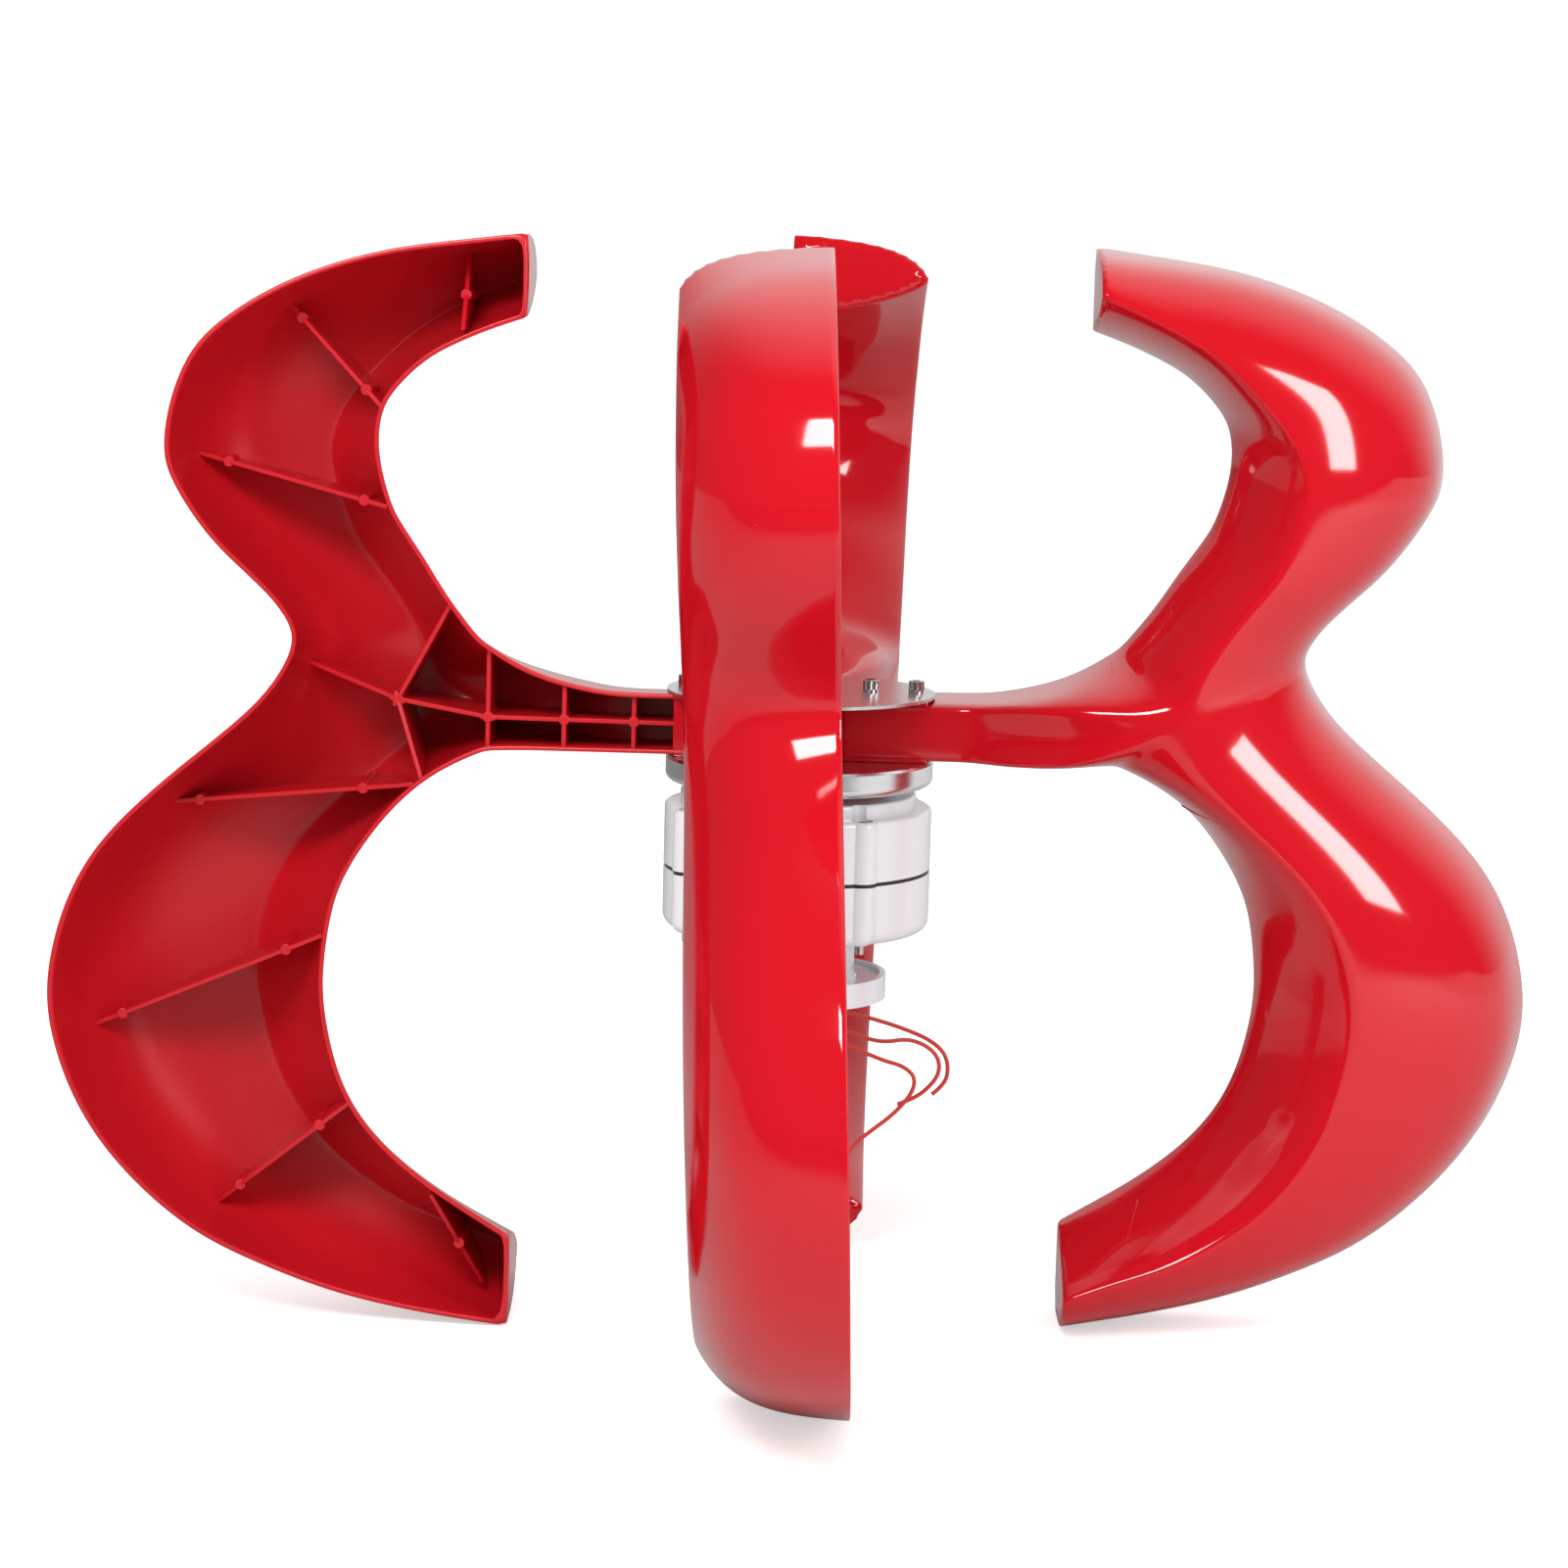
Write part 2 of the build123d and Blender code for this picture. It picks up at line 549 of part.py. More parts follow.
shaft = turned(
    (0, FLOOR_TOP + RUNNING_GAP),
    (LOWER_BEARING_BORE / 2, FLOOR_TOP + RUNNING_GAP),
    (LOWER_BEARING_BORE / 2, LOWER_BEARING_TOP),
    (LOWER_SHOULDER_DIAMETER / 2, LOWER_BEARING_TOP),
    (LOWER_SHOULDER_DIAMETER / 2, LOWER_BEARING_TOP + SHAFT_SHOULDER_LENGTH),
    (SHAFT_YOKE_RADIUS, LOWER_BEARING_TOP + SHAFT_SHOULDER_LENGTH),
    (SHAFT_YOKE_RADIUS, UPPER_BEARING_BOTTOM),
    (UPPER_BEARING_BORE / 2, UPPER_BEARING_BOTTOM),
    (UPPER_BEARING_BORE / 2, FLANGE_BOTTOM),
    (SHAFT_HUB_DIAMETER / 2, FLANGE_BOTTOM),
    (SHAFT_HUB_DIAMETER / 2, SHAFT_HUB_TOP),
    (SHAFT_THREAD_DIAMETER / 2, SHAFT_HUB_TOP),
    (SHAFT_THREAD_DIAMETER / 2, SHAFT_THREAD_TOP),
    (0, SHAFT_THREAD_TOP),
)
key_centre = SHAFT_HUB_DIAMETER / 2
KEY_BOTTOM = FLANGE_BOTTOM + KEY_SET_UP
with BuildPart() as key_body:
    with BuildSketch(Plane.XY.offset(KEY_BOTTOM)):
        with Locations((key_centre, 0)):
            Rectangle(KEY_HEIGHT - 2 * SEAT_GAP, KEY_WIDTH)
    extrude(amount=KEY_LENGTH)
shaft_key = key_body.part
with BuildPart() as key_slot:
    with BuildSketch(Plane.XY.offset(KEY_BOTTOM)):
        with Locations((key_centre, 0)):
            Rectangle(KEY_HEIGHT, KEY_WIDTH + 2 * SEAT_GAP)
    extrude(amount=KEY_LENGTH)
shaft -= key_slot.part

WASHER_TOP = HUB_TOP + NUT_WASHER_THICKNESS
thread_hole = SHAFT_THREAD_DIAMETER / 2 + SEAT_GAP
shaft_washer = ring(NUT_WASHER_DIAMETER / 2, thread_hole, HUB_TOP, WASHER_TOP)
with BuildPart() as nut_body:
    with BuildSketch(Plane.XY.offset(WASHER_TOP)):
        RegularPolygon(NUT_WIDTH / 2, 6, major_radius=False)
        Circle(thread_hole, mode=Mode.SUBTRACT)
    extrude(amount=NUT_HEIGHT)
shaft_nut = nut_body.part


# ================================================================ bearings and seal
def bearing(bore, diameter, bottom, width):
    """Outer ring with its two shields, and inner ring, of a closed ball bearing."""
    outer_radius = diameter / 2 - SEAT_GAP
    inner_radius = bore / 2 + SEAT_GAP
    race = inner_radius + BEARING_RING
    top = bottom + width
    outer = turned(
        (race + RUNNING_GAP, bottom), (outer_radius, bottom), (outer_radius, top),
        (race + RUNNING_GAP, top), (race + RUNNING_GAP, top - BEARING_SHIELD),
        (outer_radius - BEARING_RING, top - BEARING_SHIELD),
        (outer_radius - BEARING_RING, bottom + BEARING_SHIELD),
        (race + RUNNING_GAP, bottom + BEARING_SHIELD),
    )
    return outer, ring(race, inner_radius, bottom, top)


upper_bearing_outer, upper_bearing_inner = bearing(
    UPPER_BEARING_BORE, UPPER_BEARING_DIAMETER, UPPER_BEARING_BOTTOM, UPPER_BEARING_WIDTH
)
lower_bearing_outer, lower_bearing_inner = bearing(
    LOWER_BEARING_BORE, LOWER_BEARING_DIAMETER, FLOOR_TOP, LOWER_BEARING_WIDTH
)
shaft_seal = ring(
    SEAL_DIAMETER / 2 - SEAT_GAP, UPPER_BEARING_BORE / 2 + RUNNING_GAP,
    PLATEAU_TOP - SEAL_WIDTH, PLATEAU_TOP,
)


# ================================================================ generator housing
def lobed_ring(bottom, height, set_in):
    """The housing's plan: a ring with four screw lobes, open inside."""
    with BuildPart() as body:
        with BuildSketch(Plane.XY.offset(bottom)):
            Circle(HOUSING_DIAMETER / 2 - set_in)
            with polar(LOBE_CIRCLE_RADIUS, LOBE_COUNT, LOBE_ANGLE):
                Circle(LOBE_RADIUS - set_in)
        extrude(amount=height)
    return body.part


def lobe_places():
    """Plan places of the housing screws."""
    return polar(LOBE_CIRCLE_RADIUS, LOBE_COUNT, LOBE_ANGLE)


HOUSING_SCREW_SEAT = SHOULDER - LOBE_COUNTERBORE_DEPTH
HOUSING_SCREW_TIP = HOUSING_BOTTOM - HOUSING_SCREW_END
BOSS_RADIUS = UPPER_BEARING_DIAMETER / 2 + BEARING_WALL

with BuildPart() as upper_body:
    add(lobed_ring(SEAM_TOP, UPPER_HOUSING_HEIGHT, 0))
    fillet(upper_body.edges().group_by(Axis.Z)[-1], UPPER_HOUSING_FILLET)
    with BuildSketch(Plane.XY.offset(SHOULDER)):
        Circle(PLATEAU_DIAMETER / 2)
    extrude(amount=PLATEAU_HEIGHT)
    fillet(upper_body.edges().group_by(Axis.Z)[-1], PLATEAU_ROUND)
upper_housing = upper_body.part
upper_housing -= ring(HOUSING_INNER_RADIUS, BOSS_RADIUS, SEAM_TOP, SHOULDER - TOP_WALL)
upper_housing -= ring(
    PLATEAU_DIAMETER / 2 - BEARING_WALL, BOSS_RADIUS, SHOULDER - TOP_WALL - 1,
    PLATEAU_TOP - TOP_WALL,
)
upper_housing -= turned(
    (0, SEAM_TOP - 1), (BOSS_RADIUS + 1, SEAM_TOP - 1),
    (BOSS_RADIUS + 1, UPPER_BEARING_BOTTOM), (UPPER_BEARING_DIAMETER / 2, UPPER_BEARING_BOTTOM),
    (UPPER_BEARING_DIAMETER / 2, UPPER_BEARING_TOP), (BEARING_LIP_DIAMETER / 2, UPPER_BEARING_TOP),
    (BEARING_LIP_DIAMETER / 2, PLATEAU_TOP - SEAL_WIDTH),
    (SEAL_DIAMETER / 2, PLATEAU_TOP - SEAL_WIDTH), (SEAL_DIAMETER / 2, PLATEAU_TOP + 1),
    (0, PLATEAU_TOP + 1),
)
upper_housing -= posts(lobe_places(), CLEAR_DIAMETER, SEAM_TOP - 1, SHOULDER)
upper_housing -= posts(lobe_places(), LOBE_COUNTERBORE, HOUSING_SCREW_SEAT, PLATEAU_TOP + 1)

seam_ring = lobed_ring(SEAM_BOTTOM, SEAM_RING_THICKNESS, SEAM_SET_IN)
seam_ring -= ring(HOUSING_INNER_RADIUS, 0, SEAM_BOTTOM - 1, SEAM_TOP + 1)
seam_ring -= posts(lobe_places(), CLEAR_DIAMETER, SEAM_BOTTOM - 1, SEAM_TOP + 1)

with BuildPart() as lower_body:
    add(lobed_ring(HOUSING_BOTTOM, LOWER_HOUSING_HEIGHT, 0))
    fillet(lower_body.edges().group_by(Axis.Z)[0], LOWER_HOUSING_FILLET)
lower_housing = lower_body.part
LOWER_BOSS_RADIUS = LOWER_BEARING_DIAMETER / 2 + LOWER_BEARING_WALL
lower_housing -= turned(
    (0, LOWER_BEARING_TOP), (LOWER_BOSS_RADIUS, LOWER_BEARING_TOP),
    (LOWER_BOSS_RADIUS, FLOOR_TOP), (HOUSING_INNER_RADIUS, FLOOR_TOP),
    (HOUSING_INNER_RADIUS, SEAM_BOTTOM + 1), (0, SEAM_BOTTOM + 1),
)
lower_housing -= turned(
    (0, FLOOR_TOP - FLOOR_RECESS), (FLOOR_RECESS_DIAMETER / 2, FLOOR_TOP - FLOOR_RECESS),
    (FLOOR_RECESS_DIAMETER / 2, FLOOR_TOP), (LOWER_BEARING_DIAMETER / 2, FLOOR_TOP),
    (LOWER_BEARING_DIAMETER / 2, LOWER_BEARING_TOP + 1), (0, LOWER_BEARING_TOP + 1),
)
lower_housing -= posts(lobe_places(), TAPPED_DIAMETER, HOUSING_BOTTOM - 1, SEAM_BOTTOM + 1)
lower_housing += ring(NECK_DIAMETER / 2, NECK_BORE / 2, NECK_BOTTOM, HOUSING_BOTTOM)
lower_housing -= posts(
    polar(LEAD_PASSAGE_RADIUS, LEAD_COUNT, LEAD_ANGLE), LEAD_PASSAGE_DIAMETER,
    HOUSING_BOTTOM - 1, FLOOR_TOP + 1,
)
NECK_SCREW_SEAT = POLE_BOTTOM + NECK_SCREW_SINK
NECK_SCREW_TIP = NECK_SCREW_SEAT + NECK_SCREW_LENGTH
neck_places = polar(NECK_SCREW_CIRCLE_RADIUS, NECK_SCREW_COUNT)
neck_tapped = NECK_SCREW_DIAMETER + 2 * SEAT_GAP
lower_housing -= posts(neck_places, neck_tapped, NECK_BOTTOM - 1, NECK_SCREW_TIP + 2)

housing_screws = socket_screws(
    lobe_places(), HOUSING_SCREW_SEAT, HOUSING_SCREW_TIP,
    SCREW_DIAMETER, SCREW_HEAD_DIAMETER, SCREW_HEAD_HEIGHT,
)

# ================================================================ generator inside
CORE_OUTER_RADIUS = HOUSING_INNER_RADIUS - SEAT_GAP
CORE_BACK_RADIUS = CORE_OUTER_RADIUS - CORE_BACK
MAGNET_RADIUS = YOKE_RADIUS + SEAT_GAP + MAGNET_THICKNESS
TOOTH_TIP_RADIUS = MAGNET_RADIUS + AIR_GAP
TOOTH_NECK_RADIUS = TOOTH_TIP_RADIUS + TOOTH_TIP_THICKNESS

with BuildPart() as core_body:
    with BuildSketch(Plane.XY.offset(CORE_CENTRE - CORE_HEIGHT / 2)):
        Circle(TOOTH_NECK_RADIUS)
        with polar(TOOTH_NECK_RADIUS, TOOTH_COUNT, 180 / TOOTH_COUNT):
            Rectangle(4 * TOOTH_TIP_THICKNESS, SLOT_OPENING, mode=Mode.SUBTRACT)
        with polar((CORE_BACK_RADIUS + TOOTH_NECK_RADIUS) / 2, TOOTH_COUNT):
            Rectangle(CORE_BACK_RADIUS - TOOTH_NECK_RADIUS + 2, TOOTH_WIDTH)
        Circle(TOOTH_TIP_RADIUS, mode=Mode.SUBTRACT)
    extrude(amount=CORE_HEIGHT)
stator_core = core_body.part + ring(
    CORE_OUTER_RADIUS, CORE_BACK_RADIUS, CORE_CENTRE - CORE_HEIGHT / 2,
    CORE_CENTRE + CORE_HEIGHT / 2,
)

coil_width = TOOTH_WIDTH + 2 * COIL_CLEARANCE
coil_height = CORE_HEIGHT + 2 * COIL_CLEARANCE
coil_plane = Plane(origin=(TOOTH_NECK_RADIUS + 1, 0, CORE_CENTRE), x_dir=(0, 1, 0),
                   z_dir=(1, 0, 0))
with BuildPart() as coil_body:
    with BuildSketch(coil_plane):
        RectangleRounded(coil_width + 2 * COIL_THICKNESS, coil_height + 2 * COIL_THICKNESS,
                         COIL_THICKNESS)
        Rectangle(coil_width, coil_height, mode=Mode.SUBTRACT)
    extrude(amount=CORE_BACK_RADIUS - TOOTH_NECK_RADIUS - 2)
coils = [coil_body.part.rotate(Axis.Z, 360 / TOOTH_COUNT * n) for n in range(TOOTH_COUNT)]
stator_coils = Part() + coils

magnet_bottom = CORE_CENTRE - MAGNET_HEIGHT / 2
with BuildPart() as magnet_body:
    with BuildSketch(Plane.XZ):
        with Locations((YOKE_RADIUS + SEAT_GAP + MAGNET_THICKNESS / 2, CORE_CENTRE)):
            Rectangle(MAGNET_THICKNESS, MAGNET_HEIGHT)
    revolve(axis=Axis.Z, revolution_arc=MAGNET_SPAN)
poles = [magnet_body.part.rotate(Axis.Z, 360 / MAGNET_COUNT * n) for n in range(MAGNET_COUNT)]
magnets = Part() + poles

yoke_web_bottom = CORE_CENTRE - YOKE_WEB / 2
rotor_yoke = turned(
    (SHAFT_YOKE_RADIUS + SEAT_GAP, magnet_bottom),
    (YOKE_HUB_DIAMETER / 2, magnet_bottom),
    (YOKE_HUB_DIAMETER / 2, yoke_web_bottom),
    (YOKE_RADIUS - YOKE_RIM, yoke_web_bottom),
    (YOKE_RADIUS - YOKE_RIM, magnet_bottom),
    (YOKE_RADIUS, magnet_bottom),
    (YOKE_RADIUS, magnet_bottom + MAGNET_HEIGHT),
    (YOKE_RADIUS - YOKE_RIM, magnet_bottom + MAGNET_HEIGHT),
    (YOKE_RADIUS - YOKE_RIM, yoke_web_bottom + YOKE_WEB),
    (YOKE_HUB_DIAMETER / 2, yoke_web_bottom + YOKE_WEB),
    (YOKE_HUB_DIAMETER / 2, magnet_bottom + MAGNET_HEIGHT),
    (SHAFT_YOKE_RADIUS + SEAT_GAP, magnet_bottom + MAGNET_HEIGHT),
)

# ================================================================ pole flange
pole_flange = ring(POLE_FLANGE_DIAMETER / 2, NECK_BORE / 2, POLE_BOTTOM, NECK_BOTTOM)
pole_flange -= ring(
    POLE_FLANGE_DIAMETER / 2 - POLE_FLANGE_RIM, POLE_DISH_DIAMETER / 2,
    NECK_BOTTOM - POLE_DISH_DEPTH, NECK_BOTTOM + 1,
)
pole_flange -= posts(
    polar(POLE_HOLE_CIRCLE_RADIUS, POLE_HOLE_COUNT, 45), POLE_HOLE_DIAMETER,
    POLE_BOTTOM - 1, NECK_BOTTOM + 1,
)
pole_flange -= posts(
    neck_places, NECK_SCREW_DIAMETER + CLEARANCE_HOLE, POLE_BOTTOM - 1, NECK_BOTTOM + 1
)
pole_flange -= posts(
    neck_places, NECK_SCREW_HEAD_DIAMETER + 2 * RUNNING_GAP, POLE_BOTTOM - 1, NECK_SCREW_SEAT
)
neck_screws = socket_screws(
    neck_places, NECK_SCREW_SEAT, NECK_SCREW_TIP,
    NECK_SCREW_DIAMETER, NECK_SCREW_HEAD_DIAMETER, NECK_SCREW_HEAD_HEIGHT,
)
GROMMET_TOP = POLE_BOTTOM + GROMMET_THICKNESS
cable_grommet = ring(NECK_BORE / 2 - SEAT_GAP, 0, POLE_BOTTOM, GROMMET_TOP)


# ================================================================ leads
def lead(name, points, smallest):
    """A lead through points as straight runs joined by tangent arcs, cut flush at the grommet."""
    path_points = [Vector(*point) for point in points]
    inward = (path_points[0] - path_points[1]).normalized()
    path_points[0] += inward * LEAD_DIAMETER
    radii = []
    for before, here, after in zip(path_points, path_points[1:], path_points[2:]):
        run_in = here - before
        run_out = after - here
        half_turn = radians(run_in.get_angle(run_out) / 2)
        radius = BEND_SHARE * min(run_in.length, run_out.length) / tan(half_turn)
        radii.append(min(radius, LARGEST_BEND))
    with BuildPart() as body:
        with BuildLine():
            path = FilletPolyline(*path_points, radius=radii)
        with BuildSketch(Plane(origin=path @ 0, z_dir=path % 0)):
            Circle(LEAD_DIAMETER / 2)
        sweep()
    share = body.part.volume / (path.length * pi * LEAD_DIAMETER**2 / 4)
    print(f"{name}: length {path.length - LEAD_DIAMETER:.1f}, smallest bend {min(radii):.1f}, "
          f"volume share {share:.3f}, bends {[round(radius, 1) for radius in radii]}")
    assert min(radii) > smallest, name
    return body.part - cable_grommet


LEAD_ROUTES = {  # (x, y, height under the pole flange)
    "lead_1": [
        (5.2, 3, 0), (8, 3.6, -6), (17, 4.5, -10), (30, 5.5, -12), (44, 6.5, -14.8),
        (60, 7, -19), (74, 7, -23.5), (88, 6.5, -29), (98.5, 5.5, -37), (101.5, 4.5, -48),
        (99, 3.5, -58), (91, 2.5, -64.5),
    ],
    "lead_2": [
        (-5.2, 3, 0), (-2, 2.8, -9), (8, 2.2, -17), (22, 1.5, -21.5), (36, 0.8, -24),
        (48, 0.3, -28.6), (60, 0, -30.5), (74, 0, -27.8), (86, -0.2, -31.5),
        (94.5, -0.4, -39), (95.5, -0.8, -50), (88, -1.4, -60), (78.5, -2, -67),
        (68.9, -2.3, -70.5),
    ],
    "lead_3": [
        (0, -6, 0), (3, -6.4, -10), (11, -6.8, -20), (23, -7.2, -27), (36, -7.6, -31.5),
        (48, -8, -36.5), (60, -8.2, -41), (72, -8.4, -44), (80, -8.7, -51),
        (78, -8.9, -62), (66, -9.2, -76), (52, -9.5, -87), (42, -9.7, -95.5),
        (36, -9.8, -104),
    ],
}
leads = {
    name: lead(name, [(x, y, POLE_BOTTOM + z) for x, y, z in route], 2 * LEAD_DIAMETER)
    for name, route in LEAD_ROUTES.items()
}

# each inner lead runs from a coil along the floor, through its passage and down the neck
coil_bottom = CORE_CENTRE - coil_height / 2 - COIL_THICKNESS
coil_middle = (TOOTH_NECK_RADIUS + CORE_BACK_RADIUS) / 2
floor_run = coil_bottom - LEAD_BEND
inner_path = [
    (coil_middle, 0, coil_bottom), (coil_middle, 0, floor_run),
    (LEAD_CIRCLE_RADIUS, 0, floor_run), (LEAD_CIRCLE_RADIUS, 0, GROMMET_TOP),
]
with BuildPart() as inner_body:
    with BuildLine():
        inner_line = FilletPolyline(*inner_path, radius=LEAD_BEND - RUNNING_GAP)
    with BuildSketch(Plane(origin=inner_line @ 0, z_dir=inner_line % 0)):
        Circle(LEAD_DIAMETER / 2)
    sweep()
for number in range(LEAD_COUNT):
    turn = LEAD_ANGLE + 360 / LEAD_COUNT * number
    leads[f"inner_lead_{number + 1}"] = inner_body.part.rotate(Axis.Z, turn)

# ================================================================ export
nodes = {
    "top_plate": top_plate,
    "hub_flange": hub_flange,
    "blade_screws": blade_screws,
    "spring_washers": spring_washers,
    "shaft": shaft,
    "shaft_key": shaft_key,
    "shaft_washer": shaft_washer,
    "shaft_nut": shaft_nut,
    "upper_bearing_inner": upper_bearing_inner,
    "upper_bearing_outer": upper_bearing_outer,
    "lower_bearing_inner": lower_bearing_inner,
    "lower_bearing_outer": lower_bearing_outer,
    "shaft_seal": shaft_seal,
    "rotor_yoke": rotor_yoke,
    "magnets": magnets,
    "stator_core": stator_core,
    "stator_coils": stator_coils,
    "upper_housing": upper_housing,
    "seam_ring": seam_ring,
    "lower_housing": lower_housing,
    "housing_screws": housing_screws,
    "pole_flange": pole_flange,
    "neck_screws": neck_screws,
    "cable_grommet": cable_grommet,
    **leads,
}
for number, copy in enumerate(blade_copies):
    nodes[f"blade_{number + 1}"] = copy

for name, shape in nodes.items():
    shape.label = name
    export_step(shape, f"parts/{name}.step")
    solids = shape.solids()
    print(f"{name}: {len(solids)} solids, valid {shape.is_valid}, volume {shape.volume:.0f}")
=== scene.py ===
"""Looks of a small lantern-type vertical-axis wind turbine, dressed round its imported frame.

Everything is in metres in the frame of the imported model: the origin is on the rotor axis at
the level of the lower blade tips, and +Z runs up the axis.
"""

from __future__ import annotations

import logging
import math
from dataclasses import dataclass, field
from enum import Enum
from typing import Callable, Iterable, Sequence

import bmesh
import bpy
from mathutils import Matrix, Vector
from mathutils.bvhtree import BVHTree

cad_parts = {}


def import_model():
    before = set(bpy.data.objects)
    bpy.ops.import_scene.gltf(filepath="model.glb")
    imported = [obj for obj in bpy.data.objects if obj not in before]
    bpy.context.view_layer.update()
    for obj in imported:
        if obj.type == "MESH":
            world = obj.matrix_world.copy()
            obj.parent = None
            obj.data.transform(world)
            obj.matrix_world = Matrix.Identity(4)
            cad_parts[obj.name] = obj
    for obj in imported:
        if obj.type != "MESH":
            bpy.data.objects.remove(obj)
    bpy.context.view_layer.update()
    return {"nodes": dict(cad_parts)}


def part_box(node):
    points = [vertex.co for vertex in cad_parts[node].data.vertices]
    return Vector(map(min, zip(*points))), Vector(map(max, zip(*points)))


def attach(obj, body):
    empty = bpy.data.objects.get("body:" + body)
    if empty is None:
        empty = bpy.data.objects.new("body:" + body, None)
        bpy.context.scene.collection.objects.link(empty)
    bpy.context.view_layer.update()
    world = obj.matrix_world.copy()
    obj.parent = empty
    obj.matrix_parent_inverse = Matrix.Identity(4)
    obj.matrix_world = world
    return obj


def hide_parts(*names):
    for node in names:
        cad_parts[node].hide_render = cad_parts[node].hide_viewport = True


LOG = logging.getLogger("turbine")
MM = 0.001
BLADES = 4
Pair = tuple[float, float]
Triple = tuple[float, float, float]


class Body(Enum):
    """The two rigid bodies of the turbine."""

    ROTOR = "rotor"
    STATOR = "stator"


# ------------------------------------------------------------------ shader nodes
def set_inputs(node: bpy.types.Node, values: dict[str | int, object]) -> None:
    """Sets the values of a node's inputs, which are given by name or number."""
    for entry, value in values.items():
        node.inputs[entry].default_value = value


def add_node(tree: bpy.types.NodeTree, kind: str, values: dict[str | int, object] | None = None,
             **settings: object) -> bpy.types.Node:
    """Adds a shader node.

    Args:
        tree: the tree to add to.
        kind: the node's type name after ShaderNode.
        values: the values of its inputs, by name or number.
        settings: its other settings, which are made first.

    Returns:
        The node.
    """
    node = tree.nodes.new(f"ShaderNode{kind}")
    for name, value in settings.items():
        setattr(node, name, value)
    set_inputs(node, values or {})
    return node


def add_ramp(tree: bpy.types.NodeTree, span: Pair, shades: Pair,
             course: str = "SMOOTHSTEP") -> bpy.types.Node:
    """Adds a ramp.

    Args:
        tree: the tree to add to.
        span: the values between which it runs.
        shades: what it gives at both.
        course: how it runs between them, as Blender names it.

    Returns:
        The node.
    """
    values = {"From Min": span[0], "From Max": span[1], "To Min": shades[0], "To Max": shades[1]}
    return add_node(tree, "MapRange", values, interpolation_type=course)


@dataclass
class EffectGroups:
    """Shader node groups that several finishes share.

    Mask says how much of its second colour a finish shows.
    """

    broad_scale: float = 9.0
    broad_detail: float = 2.0
    noise_middle: float = 0.5
    sockets: tuple[tuple[str, str, str], ...] = (
        ("Coordinates", "INPUT", "NodeSocketVector"),
        ("Scale", "INPUT", "NodeSocketFloat"),
        ("Depth", "INPUT", "NodeSocketFloat"),
        ("Roughness", "INPUT", "NodeSocketFloat"),
        ("Spread", "INPUT", "NodeSocketFloat"),
        ("Roughness", "OUTPUT", "NodeSocketFloat"),
        ("Normal", "OUTPUT", "NodeSocketVector"),
        ("Mask", "OUTPUT", "NodeSocketFloat"),
    )
    grain: bpy.types.NodeTree = field(init=False)
    brush: bpy.types.NodeTree = field(init=False)

    def __post_init__(self) -> None:
        """Builds the moulded or cast grain, and the lines that a brush or a lathe leaves."""
        self.grain = self.make("moulded_grain", detail=3.0, relief=0.0004, broad=True)
        self.brush = self.make("tool_lines", detail=4.0, relief=0.0002, broad=False)

    def make(self, name: str, detail: float, relief: float, broad: bool) -> bpy.types.NodeTree:
        """A fine relief with uneven roughness.

        Args:
            name: the group's name.
            detail: detail of the relief's noise.
            relief: the relief's full height in metres.
            broad: whether roughness and mask follow a broad noise and not the relief.

        Returns:
            The group.
        """
        tree = bpy.data.node_groups.new(name, "ShaderNodeTree")
        for entry, way, kind in self.sockets:
            tree.interface.new_socket(name=entry, in_out=way, socket_type=kind)
        links = tree.links
        enter = tree.nodes.new("NodeGroupInput")
        leave = tree.nodes.new("NodeGroupOutput")
        fine = uneven = add_node(tree, "TexNoise", {"Detail": detail})
        if broad:
            uneven = add_node(tree, "TexNoise", {"Detail": self.broad_detail,
                                                 "Scale": self.broad_scale})
            links.new(enter.outputs["Coordinates"], uneven.inputs["Vector"])
        centre = add_node(tree, "Math", {1: self.noise_middle}, operation="SUBTRACT")
        spread = add_node(tree, "Math", operation="MULTIPLY_ADD")
        bump = add_node(tree, "Bump", {"Distance": relief})
        links.new(enter.outputs["Coordinates"], fine.inputs["Vector"])
        links.new(enter.outputs["Scale"], fine.inputs["Scale"])
        links.new(uneven.outputs["Fac"], centre.inputs[0])
        links.new(centre.outputs[0], spread.inputs[0])
        links.new(enter.outputs["Spread"], spread.inputs[1])
        links.new(enter.outputs["Roughness"], spread.inputs[2])
        links.new(fine.outputs["Fac"], bump.inputs["Height"])
        links.new(enter.outputs["Depth"], bump.inputs["Strength"])
        links.new(spread.outputs[0], leave.inputs["Roughness"])
        links.new(bump.outputs["Normal"], leave.inputs["Normal"])
        links.new(uneven.outputs["Fac"], leave.inputs["Mask"])
        return tree


